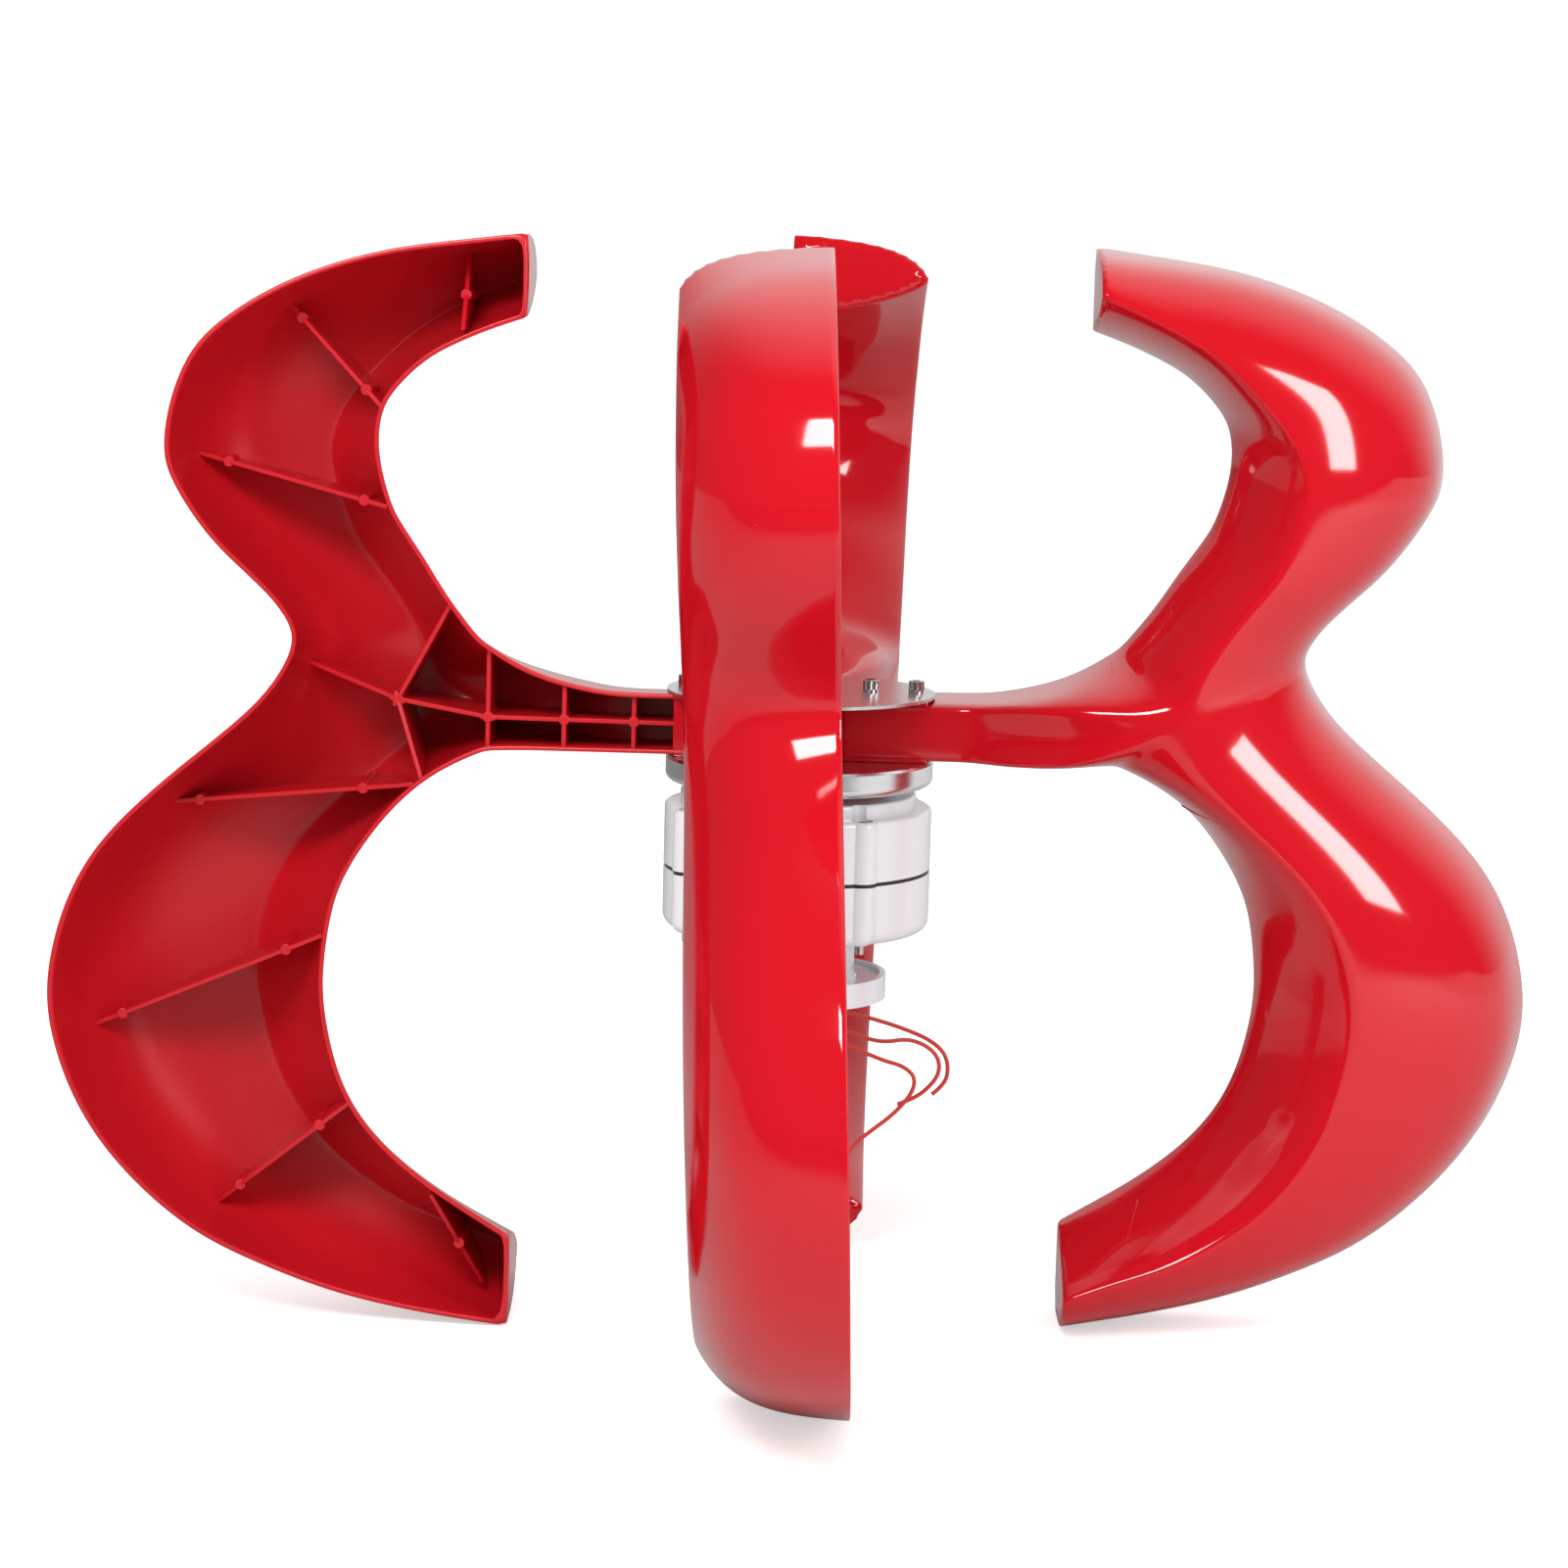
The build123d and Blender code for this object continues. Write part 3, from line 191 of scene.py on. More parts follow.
# ------------------------------------------------------------------ finishes
@dataclass(frozen=True)
class Finish:
    """One finish: a colour with a moulded or tooled surface."""

    name: str
    colour: Triple
    second: Triple
    roughness: float
    spread: float = 0.06
    metallic: float = 0.0
    coat: float = 0.0
    coat_roughness: float = 0.05
    ior: float = 1.5
    specular: float = 0.5
    scale: float = 900.0
    depth: float = 0.05
    stretch: Triple | None = None  # only tooled surfaces have one, in place of a scale

    def build(self, groups: EffectGroups) -> bpy.types.Material:
        """The finish as a material.

        Args:
            groups: the shared shader groups.

        Returns:
            The material.
        """
        material = bpy.data.materials.new(self.name)
        material.use_nodes = True
        tree = material.node_tree
        links = tree.links
        shader = tree.nodes["Principled BSDF"]
        set_inputs(shader, {
            "Metallic": self.metallic, "IOR": self.ior, "Specular IOR Level": self.specular,
            "Coat Weight": self.coat, "Coat Roughness": self.coat_roughness,
        })
        place = add_node(tree, "TexCoord").outputs["Object"]
        group = groups.brush if self.stretch else groups.grain
        effect = add_node(tree, "Group", {
            "Scale": 1.0 if self.stretch else self.scale, "Depth": self.depth,
            "Roughness": self.roughness, "Spread": self.spread,
        }, node_tree=group)
        if self.stretch:
            mapping = add_node(tree, "Mapping", {"Scale": self.stretch})
            links.new(place, mapping.inputs["Vector"])
            place = mapping.outputs["Vector"]
        links.new(place, effect.inputs["Coordinates"])
        tint = add_node(tree, "Mix", {"A": (*self.colour, 1.0), "B": (*self.second, 1.0)},
                        data_type="RGBA")
        links.new(effect.outputs["Mask"], tint.inputs["Factor"])
        links.new(tint.outputs["Result"], shader.inputs["Base Color"])
        links.new(effect.outputs["Roughness"], shader.inputs["Roughness"])
        links.new(effect.outputs["Normal"], shader.inputs["Normal"])
        return material


FINISHES = (
    Finish("red_gloss", (0.45, 0.004, 0.010), (0.50, 0.005, 0.012), 0.08, spread=0.04,
           coat=0.3, coat_roughness=0.03, scale=60.0, depth=0.02),
    Finish("red_satin", (0.47, 0.005, 0.011), (0.53, 0.007, 0.015), 0.3, spread=0.1,
           scale=1500.0, depth=0.12),
    Finish("brushed_plate", (0.62, 0.62, 0.62), (0.78, 0.78, 0.78), 0.3, spread=0.22,
           metallic=1.0, depth=0.2, stretch=(60.0, 2600.0, 200.0)),
    Finish("turned_aluminium", (0.72, 0.73, 0.74), (0.88, 0.88, 0.89), 0.2, spread=0.15,
           metallic=1.0, depth=0.15, stretch=(12.0, 12.0, 3200.0)),
    Finish("screw_steel", (0.56, 0.56, 0.57), (0.7, 0.7, 0.71), 0.14, spread=0.15,
           metallic=1.0, scale=2200.0, depth=0.1),
    Finish("ground_steel", (0.42, 0.42, 0.44), (0.56, 0.56, 0.58), 0.24, spread=0.15,
           metallic=1.0, depth=0.1, stretch=(20.0, 20.0, 2600.0)),
    Finish("white_enamel", (0.66, 0.68, 0.70), (0.70, 0.72, 0.74), 0.2, spread=0.08,
           coat=0.35, coat_roughness=0.08, scale=500.0, depth=0.06),
    Finish("black_rubber", (0.012, 0.012, 0.013), (0.03, 0.03, 0.03), 0.6, spread=0.2,
           scale=1800.0, depth=0.3),
    Finish("laminated_steel", (0.16, 0.16, 0.17), (0.3, 0.3, 0.32), 0.4, spread=0.2,
           metallic=1.0, depth=0.5, stretch=(3.0, 3.0, 3500.0)),
    Finish("copper_enamel", (0.42, 0.12, 0.04), (0.62, 0.22, 0.08), 0.3, spread=0.2,
           metallic=0.7, depth=0.6, stretch=(900.0, 900.0, 900.0)),
    Finish("nickel_plate", (0.5, 0.48, 0.45), (0.62, 0.6, 0.57), 0.22, spread=0.1,
           metallic=1.0, scale=1600.0, depth=0.08),
    Finish("lead_sheath", (0.5, 0.034, 0.022), (0.58, 0.05, 0.03), 0.34, spread=0.12,
           scale=1400.0, depth=0.1),
)

# each finish's CAD nodes
CAD_NODES = {
    "brushed_plate": ("top_plate",),
    "turned_aluminium": ("hub_flange",),
    "screw_steel": ("blade_screws", "spring_washers", "shaft_washer", "shaft_nut",
                    "housing_screws", "neck_screws"),
    "ground_steel": ("shaft", "shaft_key", "upper_bearing_inner", "upper_bearing_outer",
                     "lower_bearing_inner", "lower_bearing_outer", "rotor_yoke"),
    "black_rubber": ("shaft_seal", "seam_ring", "cable_grommet"),
    "nickel_plate": ("magnets",),
    "laminated_steel": ("stator_core",),
    "copper_enamel": ("stator_coils",),
    "white_enamel": ("upper_housing", "lower_housing", "pole_flange"),
    "lead_sheath": ("lead_1", "lead_2", "lead_3", "inner_lead_1", "inner_lead_2", "inner_lead_3"),
    "red_gloss": ("blade_1", "blade_2", "blade_3", "blade_4"),
}


# ------------------------------------------------------------------ mesh helpers
def smooth_rows(rows: Sequence[Sequence[float]], count: int,
                lead_in: Sequence[float] | None = None,
                lead_out: Sequence[float] | None = None) -> list[list[float]]:
    """Rows read off a smooth curve through the given rows.

    Args:
        rows: the rows of numbers that the curve passes through.
        count: how many rows to return, the ends included.
        lead_in: a row before the first, which sets how the curve starts.
        lead_out: a row after the last, which sets how the curve ends.

    Returns:
        The rows, evenly spread over the given ones.
    """
    last = len(rows) - 1
    first = rows[0] if lead_in is None else lead_in
    final = rows[last] if lead_out is None else lead_out
    made = []
    for step in range(count):
        place = step * last / (count - 1)
        low = min(int(place), last - 1)
        t = place - low
        before = rows[low - 1] if low > 0 else first
        after = rows[low + 2] if low + 2 <= last else final
        made.append([
            0.5 * (2 * b + (c - a) * t + (2 * a - 5 * b + 4 * c - d) * t * t
                   + (3 * b - a - 3 * c + d) * t**3)
            for a, b, c, d in zip(before, rows[low], rows[low + 1], after)
        ])
    return made


def finish_piece(bm: bmesh.types.BMesh, name: str, materials: Iterable[bpy.types.Material],
                 body: Body, sharp: float) -> bpy.types.Object:
    """A bmesh as a smooth-shaded piece that rides on a body.

    Args:
        bm: the mesh, in metres in the row frame, which is freed.
        name: the piece's name.
        materials: its materials, in slot order.
        body: the body that it rides on.
        sharp: edges over this angle in degrees stay sharp.

    Returns:
        The piece.
    """
    mesh = bpy.data.meshes.new(name)
    bm.to_mesh(mesh)
    bm.free()
    mesh.shade_smooth()
    mesh.set_sharp_from_angle(angle=math.radians(sharp))
    for material in materials:
        mesh.materials.append(material)
    piece = bpy.data.objects.new(name, mesh)
    bpy.context.scene.collection.objects.link(piece)
    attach(piece, body.value)
    LOG.info("%s: %d vertices on %s", name, len(mesh.vertices), body.value)
    return piece


# ------------------------------------------------------------------ blades
@dataclass(frozen=True)
class Lobe:
    """How one lobe of a blade is drawn from its tip to the waist."""

    rows: int
    splay: float  # how far its middle leans in, as a share of the way across
    waist_part: float  # the share of its length next to the waist
    waist_power: float  # shape of the inner wall at the waist


@dataclass
class BladeSet:
    """The four moulded blades.

    A blade is drawn in its own plane in millimetres: u runs out along the arm, v runs up and
    depth runs from the open rim to the closed side. Each station is an outer rim point, the
    ridge point it runs to and an inner rim point.
    """

    satin: bpy.types.Material
    gloss: bpy.types.Material
    arm_z: float = 387.68
    rim_offset: float = 25.0
    lean: float = 2.3
    depth: float = 92.0
    wall: float = 3.0
    wall_crease: float = 0.85
    tip_crease: float = 0.75
    merge_reach: float = 0.2
    profile_steps: int = 10
    arch_handles: tuple[Pair, Pair] = ((0.03, 0.52), (0.2, 0.79))  # shape of the outer wall
    tip_fullness: float = 0.12
    tip_part: float = 0.125  # the share of a lobe's length over which its tip fills out
    wall_power: float = 1.45  # the inner wall is nearly straight
    upper_lobe: Lobe = Lobe(rows=24, splay=0.075, waist_part=0.2, waist_power=1.6)
    lower_lobe: Lobe = Lobe(rows=32, splay=0.105, waist_part=0.35, waist_power=3.0)
    arm_rows: int = 20
    arm_blend_rows: int = 8  # rows over which the lobes' shape turns into the arm's
    arm_power: float = 10.0  # the arm has square corners
    upper: tuple[tuple[Pair, Pair, Pair], ...] = (
        ((177, 304.5), (177, 281), (177, 252)),
        ((219, 299), (205, 269), (197, 245)),
        ((265, 292), (233, 255), (218, 236)),
        ((311, 278), (258, 238), (238, 225)),
        ((352, 257), (280, 216), (255, 209)),
        ((389, 224), (300, 192), (266, 192)),
        ((404, 167), (309, 164), (268, 166)),
        ((391, 134), (302, 134), (260, 135)),
        ((370, 106), (290, 106), (251, 119)),
        ((345, 83), (271, 82), (238, 100)),
        ((328, 65), (254, 56), (222, 75)),
        ((320, 44), (242, 28), (203, 51)),
    )
    lower: tuple[tuple[Pair, Pair, Pair], ...] = (
        ((320, 44), (242, 28), (198, -20)),
        ((337, 13), (248, -5), (216, -28)),
        ((364, -13), (269, -32), (237, -41)),
        ((395, -39), (294, -56), (258, -61)),
        ((428, -70), (318, -80), (277, -87)),
        ((451, -100), (338, -108), (290, -113)),
        ((467, -138), (351, -140), (296, -143)),
        ((474, -185), (355, -174), (298, -177)),
        ((463, -232), (349, -208), (292, -212)),
        ((442, -272), (339, -241), (283, -238)),
        ((412, -306), (322, -271), (271, -258)),
        ((376, -334), (300, -297), (255, -276)),
        ((333, -354), (272, -318), (236, -292)),
        ((284, -371), (242, -334), (216, -306)),
        ((230, -382), (209, -345), (195, -319)),
        ((177, -389), (177, -357), (177, -330)),
    )
    rib_wall: float = 2.8
    rib_round: float = 0.45
    rib_round_steps: int = 2
    rib_sharp: float = 50.0  # edges over this angle in degrees are rounded
    rib_steps: int = 28
    rib_reach: float = 5.0  # how far a rib runs on past its ends into the walls
    boss_radius: float = 3.5
    boss_sides: int = 24
    boss_foot: float = 1.12  # the radius at a boss's foot, in boss radii
    boss_search: float = 1.15  # how far round a boss the skin is searched, in boss radii
    boss_rise: float = 0.3  # how far a boss stands out over its rib
    boss_least: float = 2.0  # the least height that a boss is made for
    bury: float = 1.9  # how far the ribs' feet stand back from the skin's outer face
    stand_off: float = 5.0  # how far before the rims a search for the skin starts
    # ribs: inner end (u, v), outer end (u, v), depths of the free edge at both, boss shares
    ribs: tuple[tuple[Pair, Pair, Pair, tuple[float, ...]], ...] = (
        ((216.9, 248.2), (216.9, 286.2), (5, 42), (0.45,)),
        ((268.2, 194.9), (330.9, 257.6), (5, 42), (0.15, 0.85)),
        ((262.7, 131.5), (387.9, 161.4), (5, 42), (0.12, 0.83)),
        ((248.2, -43.6), (400.9, -62.2), (5, 42), (0.18, 0.88)),
        ((303.9, -142.8), (451.3, -208.9), (5, 42), (0.13, 0.86)),
        ((283.7, -250.5), (369.7, -322.9), (5, 42), (0.19, 0.81)),
        ((225.3, -310.4), (198.6, -366.8), (5, 42), (0.55,)),
        ((255, 10), (314.5, 29.9), (15, 42), (0.0,)),
        ((255, 10), (223.5, 68.2), (15, 5), ()),
        ((255, 10), (239.3, -36.6), (15, 5), ()),
        ((255, 10), (197, 1), (15, 5), (1.0,)),
        ((197, 1), (78, 0), (5, 5), (0.4034, 0.7731)),
        ((197, -20), (197, 40), (5, 5), ()),
        ((149, -20), (149, 26), (5, 5), ()),
        ((105, -20), (105, 20), (5, 5), ()),
    )
    root_u: Pair = (26.0, 80.0)
    root_size: Pair = (46.0, 40.0)
    root_round: float = 1.2
    root_round_steps: int = 3
    smooth_levels: int = 2
    # along the arm: middle of the closed face (u, v, depth), top edge and bottom edge of the rim
    arm: tuple[tuple[Triple, Pair, Pair], ...] = (
        ((242, 28, 92), (203, 51), (198, -20)),
        ((225, 17, 88.5), (188, 41), (182, -19.3)),
        ((205, 9, 83), (172, 32.5), (167, -19)),
        ((180, 3, 75), (155, 26.5), (150, -19)),
        ((155, 1, 65), (137, 22.3), (132, -19)),
        ((135, 0, 57), (122, 20), (118, -19)),
        ((115, 0, 51), (108, 19.2), (105, -19)),
        ((95, 0, 50), (92, 19), (92, -19)),
        ((76, 0, 50), (76, 19), (76, -19)),
        ((55, 0, 50), (55, 19), (55, -19)),
        ((26, 0, 50), (26, 19), (26, -19)),
    )

    def place(self, u: float, v: float, depth: float) -> Vector:
        """A point of the blade plane of the first blade, in the row frame in metres."""
        lean = math.radians(self.lean)
        open_way = Vector((0.0, math.cos(lean), math.sin(lean)))
        up_way = Vector((0.0, -math.sin(lean), math.cos(lean)))
        point = Vector((u, 0.0, self.arm_z)) + up_way * v + open_way * (self.rim_offset - depth)
        return point * MM

    def profile(self, rim: Pair, ridge: Pair, depth: float,
                curve: Callable[[float], Pair]) -> list[Vector]:
        """Points from the rim up a wall to the ridge.

        Args:
            rim: the rim point in the blade plane.
            ridge: the ridge point.
            depth: the ridge's depth.
            curve: gives the shares of the way across and of the depth at a share of the profile.

        Returns:
            The points, the rim first.
        """
        points = []
        for step in range(self.profile_steps):
            across, into = curve(step / (self.profile_steps - 1))
            points.append(self.place(rim[0] + (ridge[0] - rim[0]) * across,
                                     rim[1] + (ridge[1] - rim[1]) * across, depth * into))
        return points

    def arch(self, fullness: float, splay: float) -> Callable[[float], Pair]:
        """A profile that starts nearly upright, turns over and runs flat to the ridge.

        Args:
            fullness: how early it reaches its full depth, about 1.
            splay: share across by which its start leans in, on top of the first handle's.

        Returns:
            The curve.
        """
        first, second = self.arch_handles
        first = (first[0] + splay, first[1] * fullness)
        second = (second[0], min(1.0, second[1] * fullness))

        def curve(share: float) -> Pair:
            """Shares across and into the depth at a share of the profile."""
            rest = 1 - share
            across, into = (
                3 * rest * rest * share * one + 3 * rest * share * share * two + share**3
                for one, two in zip(first, second)
            )
            return across, into

        return curve

    @staticmethod
    def box(power: float) -> Callable[[float], Pair]:
        """A profile that is straight for a power of 1 and nearly a square corner for 10."""

        def curve(share: float) -> Pair:
            """Shares across and into the depth at a share of the profile."""
            angle = share * math.pi / 2
            across = 1 - max(math.cos(angle), 0.0) ** (2 / power)
            return across, math.sin(angle) ** (2 / power)

        return curve

    def section(self, row: Sequence[float], fullness: float, splay: float,
                power: float) -> list[Vector]:
        """A lobe's whole section: outer rim, ridge and inner rim."""
        outer = self.profile(row[0:2], row[2:4], self.depth, self.arch(fullness, splay))
        inner = self.profile(row[4:6], row[2:4], self.depth, self.box(power))
        return outer + inner[-2::-1]

    def strip(self, bm: bmesh.types.BMesh, chains: Sequence[Sequence[Vector]]) -> list[list]:
        """Lays a skin over chains of points, one after another.

        Args:
            bm: the mesh to add to.
            chains: the chains, each with as many points.

        Returns:
            The chains' vertices.
        """
        rows = []
        edges_before: list[bmesh.types.BMEdge] = []
        for chain in chains:
            row = [bm.verts.new(point) for point in chain]
            edges = [bm.edges.new(pair) for pair in zip(row, row[1:])]
            if edges_before:
                bmesh.ops.bridge_loops(bm, edges=edges_before + edges)
            rows.append(row)
            edges_before = edges
        return rows

    def lobe_skin(self, bm: bmesh.types.BMesh, rows: Sequence[Sequence[float]], lobe: Lobe,
                  tip_first: bool) -> list[list]:
        """Lays the skin of one lobe.

        Args:
            bm: the mesh to add to.
            rows: the sections' outer rim, ridge and inner rim, in order.
            lobe: how the lobe is drawn.
            tip_first: whether the first row is at the tip and not at the waist.

        Returns:
            The sections' vertices.
        """
        chains = []
        for number, row in enumerate(rows):
            share = number / (len(rows) - 1)
            from_tip, from_waist = (share, 1 - share) if tip_first else (1 - share, share)
            fullness = 1 + self.tip_fullness * max(0.0, 1 - from_tip / self.tip_part)
            junction = max(0.0, 1 - from_waist / lobe.waist_part) ** 2
            power = self.wall_power + (lobe.waist_power - self.wall_power) * junction
            splay = lobe.splay * math.sin(math.pi * share)
            chains.append(self.section(row, fullness, splay, power))
        return self.strip(bm, chains)

    def arm_skin(self, bm: bmesh.types.BMesh) -> None:
        """Lays the skin of the arm, from the lobes to the root."""
        waist = (self.upper_lobe.waist_power, self.lower_lobe.waist_power)
        chains = []
        rows = smooth_rows([[*c, *t, *b] for c, t, b in self.arm], self.arm_rows)
        for number, row in enumerate(rows):
            share = min(1.0, number / self.arm_blend_rows) ** 2
            top_power, bottom_power = (
                power + (self.arm_power - power) * share for power in waist
            )
            top = self.profile(row[3:5], row[0:2], row[2], self.box(top_power))
            bottom = self.profile(row[5:7], row[0:2], row[2], self.box(bottom_power))
            chains.append(top + bottom[-2::-1])
        self.strip(bm, chains)

    def skin(self) -> bmesh.types.BMesh:
        """The outer skin of the first blade, as a cage for subdivision."""
        bm = bmesh.new()
        over, under = self.upper[-2], self.lower[1]
        past_upper = [*under[0], *under[1], *self.upper[-1][2]]
        rows = smooth_rows([[*o, *r, *i] for o, r, i in self.upper], self.upper_lobe.rows,
                           lead_out=past_upper)
        upper = self.lobe_skin(bm, rows, self.upper_lobe, tip_first=True)
        before_lower = [*over[0], *over[1], *self.lower[0][2]]
        rows = smooth_rows([[*o, *r, *i] for o, r, i in self.lower], self.lower_lobe.rows,
                           lead_in=before_lower)
        lower = self.lobe_skin(bm, rows, self.lower_lobe, tip_first=False)
        self.arm_skin(bm)
        creased = bm.edges.layers.float.new("crease_edge")
        for row in (upper[0], lower[-1]):
            closing = bm.edges.new((row[0], row[-1]))
            edges = [bm.edges.get(pair) for pair in zip(row, row[1:])]
            bmesh.ops.contextual_create(bm, geom=edges + [closing])
            for edge in edges:
                edge[creased] = self.tip_crease
        bmesh.ops.remove_doubles(bm, verts=bm.verts, dist=self.merge_reach * MM)
        bmesh.ops.recalc_face_normals(bm, faces=bm.faces)
        probe = max(bm.faces, key=lambda face: face.calc_center_median().x)
        if probe.normal.x < 0:
            bmesh.ops.reverse_faces(bm, faces=bm.faces)
        return bm

    def depth_at(self, tree: BVHTree, u: float, v: float) -> float | None:
        """Depth at which the skin closes the hollow over a point of the blade plane, in mm."""
        start = self.place(u, v, -self.stand_off)
        inward = (self.place(u, v, 0.0) - start).normalized()
        hit = tree.ray_cast(start, inward)
        if hit[0] is None:
            return None
        return hit[3] / MM - self.stand_off

    def add_rib(self, bm: bmesh.types.BMesh, tree: BVHTree, start: Pair, end: Pair,
                depths: Pair) -> None:
        """Adds one rib, whose lower edge lies in the skin's wall.

        Args:
            bm: the mesh to add to.
            tree: the skin.
            start: the rib's first end in the blade plane.
            end: its other end.
            depths: the depth of the free edge at both ends.
        """
        length = math.dist(start, end)
        way = ((end[0] - start[0]) / length, (end[1] - start[1]) / length)
        tops, feet = [], []
        for step in range(self.rib_steps + 1):
            along = -self.rib_reach + (length + 2 * self.rib_reach) * step / self.rib_steps
            u, v = start[0] + way[0] * along, start[1] + way[1] * along
            top = depths[0] + (depths[1] - depths[0]) * along / length
            foot = self.depth_at(tree, u, v)
            if foot is None or foot - self.bury <= top:
                continue
            tops.append(self.place(u, v, top))
            feet.append(self.place(u, v, foot - self.bury))
        if len(tops) < 2:
            return
        rows = self.strip(bm, (tops, feet))
        faces = list({face for vert in rows[0] for face in vert.link_faces})
        bmesh.ops.recalc_face_normals(bm, faces=faces)
        side = faces[0].normal.copy()
        half = side * self.rib_wall / 2 * MM
        bmesh.ops.translate(bm, verts=rows[0] + rows[1], vec=-half)
        grown = bmesh.ops.extrude_face_region(bm, geom=faces, use_keep_orig=True)
        moved = [item for item in grown["geom"] if isinstance(item, bmesh.types.BMVert)]
        bmesh.ops.translate(bm, verts=moved, vec=half * 2)

    def add_boss(self, bm: bmesh.types.BMesh, tree: BVHTree, u: float, v: float,
                 top: float) -> None:
        """Adds one round boss on a rib.

        Args:
            bm: the mesh to add to.
            tree: the skin.
            u: how far out along the arm it stands.
            v: how far up it stands.
            top: the depth of the rib's free edge there.
        """
        reach = self.boss_radius * self.boss_search
        around = ((0, 0), (reach, 0), (-reach, 0), (0, reach), (0, -reach))
        feet = [self.depth_at(tree, u + a, v + b) or 0.0 for a, b in around]
        if min(feet) < top + self.boss_least:
            return
        low = self.place(u, v, min(feet) - self.bury)
        high = self.place(u, v, top - self.boss_rise)
        turn = (high - low).to_track_quat("Z", "Y").to_matrix().to_4x4()
        turn.translation = (low + high) / 2
        radius = self.boss_radius * MM
        bmesh.ops.create_cone(bm, cap_ends=True, segments=self.boss_sides,
                              radius1=radius * self.boss_foot, radius2=radius,
                              depth=(high - low).length, matrix=turn)

    def rib_mesh(self, tree: BVHTree) -> bmesh.types.BMesh:
        """All ribs and bosses of the first blade."""
        bm = bmesh.new()
        for start, end, depths, shares in self.ribs:
            self.add_rib(bm, tree, start, end, depths)
            for share in shares:
                self.add_boss(bm, tree, start[0] + (end[0] - start[0]) * share,
                              start[1] + (end[1] - start[1]) * share,
                              depths[0] + (depths[1] - depths[0]) * share)
        bmesh.ops.recalc_face_normals(bm, faces=bm.faces)
        return bm

    def root_mesh(self) -> bmesh.types.BMesh:
        """The block at the arm's root, which the hub's plates clamp."""
        bm = bmesh.new()
        bmesh.ops.create_cube(bm, size=1.0)
        bmesh.ops.scale(bm, verts=bm.verts, vec=(
            (self.root_u[1] - self.root_u[0]) * MM, self.root_size[0] * MM,
            self.root_size[1] * MM))
        middle = (self.root_u[0] + self.root_u[1]) / 2
        bmesh.ops.translate(bm, verts=bm.verts, vec=(middle * MM, 0, self.arm_z * MM))
        bmesh.ops.bevel(bm, geom=bm.edges, offset=self.root_round * MM,
                        segments=self.root_round_steps, affect="EDGES", profile=0.5, material=-1)
        return bm

    def copy_round(self, bm: bmesh.types.BMesh, number: int, part: str,
                   materials: Sequence[bpy.types.Material], sharp: float) -> bpy.types.Object:
        """A copy of a piece of the first blade, turned to another blade's place.

        Args:
            bm: the piece on the first blade.
            number: the blade's number, from 0.
            part: the piece's name after the blade's.
            materials: its materials.
            sharp: edges over this angle in degrees stay sharp.

        Returns:
            The piece, which stands for the blade's CAD node.
        """
        copy = bm.copy()
        bmesh.ops.rotate(copy, verts=copy.verts, cent=(0, 0, 0),
                         matrix=Matrix.Rotation(math.tau * number / BLADES, 3, "Z"))
        piece = finish_piece(copy, f"blade_{number + 1}_{part}", materials, Body.ROTOR,
                             sharp)
        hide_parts(f"blade_{number + 1}")
        return piece

    def build(self) -> None:
        """Makes the four blades and lets them stand for their CAD nodes."""
        bm = self.skin()
        tree = BVHTree.FromBMesh(bm)
        ribs = self.rib_mesh(tree)
        root = self.root_mesh()
        for number in range(BLADES):
            bars = self.copy_round(ribs, number, "ribs", (self.satin,), sharp=30)
            edge = bars.modifiers.new("edges", "BEVEL")
            edge.width = self.rib_round * MM
            edge.segments = self.rib_round_steps
            edge.limit_method = "ANGLE"
            edge.angle_limit = math.radians(self.rib_sharp)
            self.copy_round(root, number, "root", (self.gloss,), sharp=60)
            piece = self.copy_round(bm, number, "skin", (self.gloss, self.satin), sharp=180)
            solid = piece.modifiers.new("wall", "SOLIDIFY")
            solid.thickness = self.wall * MM
            solid.offset = -1.0
            solid.use_even_offset = True
            solid.use_quality_normals = True
            solid.material_offset = 1
            solid.material_offset_rim = 1
            solid.edge_crease_inner = self.wall_crease
            solid.edge_crease_outer = self.wall_crease
            smooth = piece.modifiers.new("smooth", "SUBSURF")
            smooth.levels = smooth.render_levels = self.smooth_levels
        bm.free()
        ribs.free()
        root.free()


